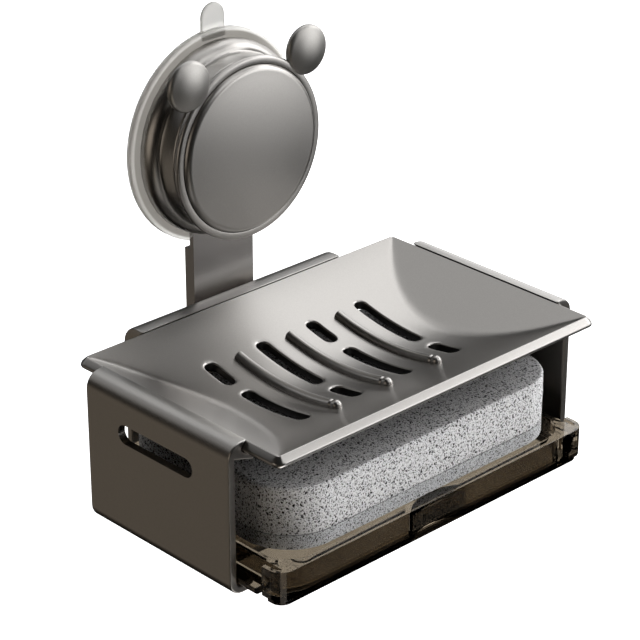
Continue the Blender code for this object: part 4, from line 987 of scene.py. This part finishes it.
def foam_depth(tree, place, scale):
    """Brightness of the foam's skin, 1 between its pores and less inside them, which is painted shade in the
    pores.
    """
    warp = add_noise(tree, place, Scale=scale * FOAM_WARP_SCALE, Detail=2.0)["Color"]
    shift = add_node(tree, "ShaderNodeVectorMath", operation="MULTIPLY_ADD")
    link(tree, warp, shift.inputs[0])
    shift.inputs[1].default_value = (FOAM_WARP / scale,) * 3
    link(tree, place["Object"], shift.inputs[2])
    depth = None
    for factor, low, high, least in FOAM_PORES:
        pores = add_node(tree, "ShaderNodeTexVoronoi", Scale=scale * factor, Randomness=1.0)
        link(tree, shift.outputs["Vector"], pores.inputs["Vector"])
        edge = spread(tree, pores.outputs["Distance"], (low, high), least, curve="SMOOTHSTEP")
        depth = reckon(tree, "MULTIPLY", depth, edge) if depth else edge
    return depth


def foam_with_painted_shade(name, light, shade, scale):
    """Open-pored foam: a fine net of small pores with darker, larger pores among them, with painted shade in
    the pores and on the upward faces.
    """
    material, tree, shader, place = blank(name)
    depth = foam_depth(tree, place, scale)
    mottle = add_noise(tree, place, Scale=scale * FOAM_MOTTLE_SCALE, Detail=4.0)["Fac"]
    body = ramp(tree, mottle, FOAM_MOTTLE_SPAN, shade, light)
    upward = axes(tree, place["Normal"])["Z"]
    # painted shade on the upward faces, which lie in the tray's shadow
    top = spread(tree, upward, FOAM_TOP_FACING, 1.0, FOAM_TOP_PAINTED_SHADE)
    recolor(tree, reckon(tree, "MULTIPLY", depth, top), body)
    add_bump(tree, shader, depth, FOAM_GRAIN, FOAM_GRAIN_DEPTH)
    set_values(shader, Roughness=0.9, Specular_IOR_Level=0.2)
    return material


def painted_base_band(tree, place, tone):
    """The drawer's colour: a thin parting line with a painted highlight, brighter than white, and painted
    shade that makes the foot below it nearly black.
    """
    band = (DRAWER_LINE - DRAWER_LINE_WIDTH, DRAWER_LINE + DRAWER_LINE_WIDTH)
    height = spread(tree, axes(tree, place["Object"])["Z"], band)
    line = (DRAWER_LINE_MIDDLE, DRAWER_PARTING_PAINTED_HIGHLIGHT)
    foot = ramp(tree, height, (DRAWER_FOOT_END, DRAWER_CLEAR_START), DRAWER_FOOT_PAINTED_SHADE, WHITE, line)
    level = reckon(tree, "ABSOLUTE", axes(tree, place["Normal"])["Z"])
    upright = spread(tree, level, DRAWER_UPRIGHT_FACING)
    return mixed(tree, upright, tone, foot, "MULTIPLY")


def smoky_plastic_painted_light():
    """Clear smoky brown plastic, polished, with faint flow marks, a painted highlight on its parting line
    and painted shade on its foot.
    """
    material, tree, shader, place = blank("smoky_plastic_painted_light")
    flow = add_noise(tree, place, Scale=60.0, Detail=3.0)["Fac"]
    tone = ramp(tree, flow, PLASTIC_TONE_SPAN, SMOKY_SHADE, SMOKY_LIGHT)
    gloss = spread(tree, flow, WHOLE, *SMOKY_ROUGHNESS)
    paint(tree, shader, painted_base_band(tree, place, tone), gloss)
    set_values(shader, Transmission_Weight=1.0, IOR=1.49)
    return material


def make_floor():
    """Plain pale floor, lit evenly from within, so that it stays pale behind the object."""
    shape = bmesh.new()
    bmesh.ops.create_grid(shape, x_segments=1, y_segments=1, size=FLOOR_REACH)
    mesh = bpy.data.meshes.new("studio_floor")
    shape.to_mesh(mesh)
    shape.free()
    floor = add_object("studio_floor", mesh)
    floor.location = (0.0, 0.0, CAD_BOX[0].z - FLOOR_DROP)
    material = bpy.data.materials.new("pale_floor")
    material.use_nodes = True
    shader = material.node_tree.nodes["Principled BSDF"]
    set_values(shader, Base_Color=(*FLOOR_GREY, 1.0), Roughness=0.9)
    set_values(shader, Emission_Color=(*WHITE, 1.0), Emission_Strength=1.0)
    mesh.materials.append(material)
    floor.visible_glossy = False
    floor.visible_diffuse = False
    floor.visible_shadow = False


def add_lights():
    """Soft round boxes on a sphere round the object, hidden from the camera."""
    for name, azimuth, elevation, power, color in LIGHTS:
        data = bpy.data.lights.new(name, "AREA")
        data.shape = "DISK"
        data.size = LIGHT_DIAMETER
        data.energy = power
        data.color = color
        light = add_object(name, data)
        direction = toward(math.radians(azimuth), math.radians(elevation))
        light.location = LIGHT_TARGET + direction * LIGHT_DISTANCE
        light.rotation_euler = direction.to_track_quat("Z", "Y").to_euler()
        light.visible_camera = False


def add_world():
    """A world that gives no light of its own, seen as white directly and through clear pieces."""
    world = bpy.data.worlds.new("studio")
    bpy.context.scene.world = world
    world.use_nodes = True
    tree = world.node_tree
    unlit = tree.nodes["Background"]
    set_values(unlit, Color=(*WHITE, 1.0), Strength=0.0)
    plain = add_node(tree, "ShaderNodeBackground", Color=(*WHITE, 1.0), Strength=1.0)
    path = add_node(tree, "ShaderNodeLightPath").outputs
    seen = reckon(tree, "MAXIMUM", path["Is Camera Ray"], path["Is Transmission Ray"])
    mix = add_node(tree, "ShaderNodeMixShader")
    link(tree, seen, mix.inputs["Fac"])
    link(tree, unlit.outputs["Background"], mix.inputs[1])
    link(tree, plain.outputs["Background"], mix.inputs[2])
    link(tree, mix.outputs["Shader"], tree.nodes["World Output"].inputs["Surface"])


def add_camera():
    """The photograph's view."""
    data = bpy.data.cameras.new("photo_camera")
    data.lens = CAMERA_LENS
    data.sensor_width = CAMERA_SENSOR
    camera = add_object("photo_camera", data)
    back = toward(CAMERA_AZIMUTH, CAMERA_ELEVATION)
    right = Vector((math.cos(CAMERA_AZIMUTH), math.sin(CAMERA_AZIMUTH), 0.0))
    turn = Matrix((right, back.cross(right), back)).transposed()
    camera.matrix_world = Matrix.Translation(CAMERA_PLACE) @ turn.to_4x4()
    bpy.context.scene.camera = camera


def dress_mount():
    """The pad, the knob, the housing and the strap."""
    grey = metal_finish("gun_grey", GUN_GREY, roughness=0.33)
    painted_grip_grey = metal_finish("gun_grey_grips_painted_shade", GRIP_PAINTED_SHADE_GREY, roughness=0.42)
    strap_grey = metal_finish("dark_strap", STRAP_GREY, roughness=0.26)
    silicone = milky_silicone()
    make_pad(silicone)
    make_tab(silicone)
    make_knob(grey)
    make_grips(painted_grip_grey)
    make_cover(grey)
    refined("housing_shell", "mount_housing", "holder", grey)
    refined("strap_plate", "hanger_strap", "holder", strap_grey, STRAP_ROUNDING)


def dress_dish():
    """The tray with its ribs, the panels, the drawer and the sponge."""
    tray = Tray()
    painted_tray_grey = metal_finish("gun_grey_tray_painted_shade", GUN_GREY, roughness=0.30)
    # painted shade on the drain slots' walls
    paint_shade_on_slot_walls(painted_tray_grey, tray.rim_z - SLOT_WALL_DROP)
    make_tray(tray, painted_tray_grey)
    make_ribs(tray, metal_finish("gun_grey_ribs", GUN_GREY, roughness=0.30))
    painted_panel_grey = metal_finish("gun_grey_panel_painted_light", PANEL_GREY, roughness=0.36)
    # painted shade inside the panels and on their front edges, painted light on their rolls
    paint_panel_light_and_shade(painted_panel_grey, tray.rim_z)
    panels = {"panel_left": "side_panel_left", "panel_right": "side_panel_right", "panel_rear": "rear_panel"}
    for name, node in panels.items():
        refined(name, node, "holder", painted_panel_grey)
    smoky = smoky_plastic_painted_light()
    refined("drawer_clear", "drip_drawer", "drawer", smoky, DRAWER_ROUNDING)
    sponge = foam_with_painted_shade("foam", SPONGE_LIGHT, SPONGE_SHADE, scale=1050.0)
    make_foam("foam_block", "sponge_block", SPONGE_FOLD, sponge, seed=3.0)
    layer = foam_with_painted_shade("fine_foam", LAYER_LIGHT, LAYER_SHADE, scale=1500.0)
    make_foam("foam_layer", "sponge_scrub_layer", 0.0, layer, seed=8.0)


def dress_small_parts():
    """Give the small parts, which keep their CAD meshes, their materials."""
    steel = moulded("plain_steel", STEEL, roughness=0.30, metallic=1.0)
    brass = moulded("turned_brass", BRASS, roughness=0.28, metallic=1.0)
    black = moulded("black_plastic", CARRIER_BLACK, roughness=0.45)
    washer = moulded("washer_plastic", WASHER_WHITE, roughness=0.40)
    materials = {
        "stud_carrier": black, "draw_stud": steel, "strap_screw_left": steel, "strap_screw_right": steel,
        "thrust_washer": washer, "knob_nut": brass, "hanger_screw_upper": steel, "hanger_screw_lower": steel,
    }
    for node, material in materials.items():
        cad(node).data.materials.clear()
        cad(node).data.materials.append(material)


dress_mount()
dress_dish()
dress_small_parts()
make_floor()
add_lights()
add_world()
add_camera()
bpy.context.scene.view_settings.view_transform = "Standard"
bpy.context.view_layer.update()
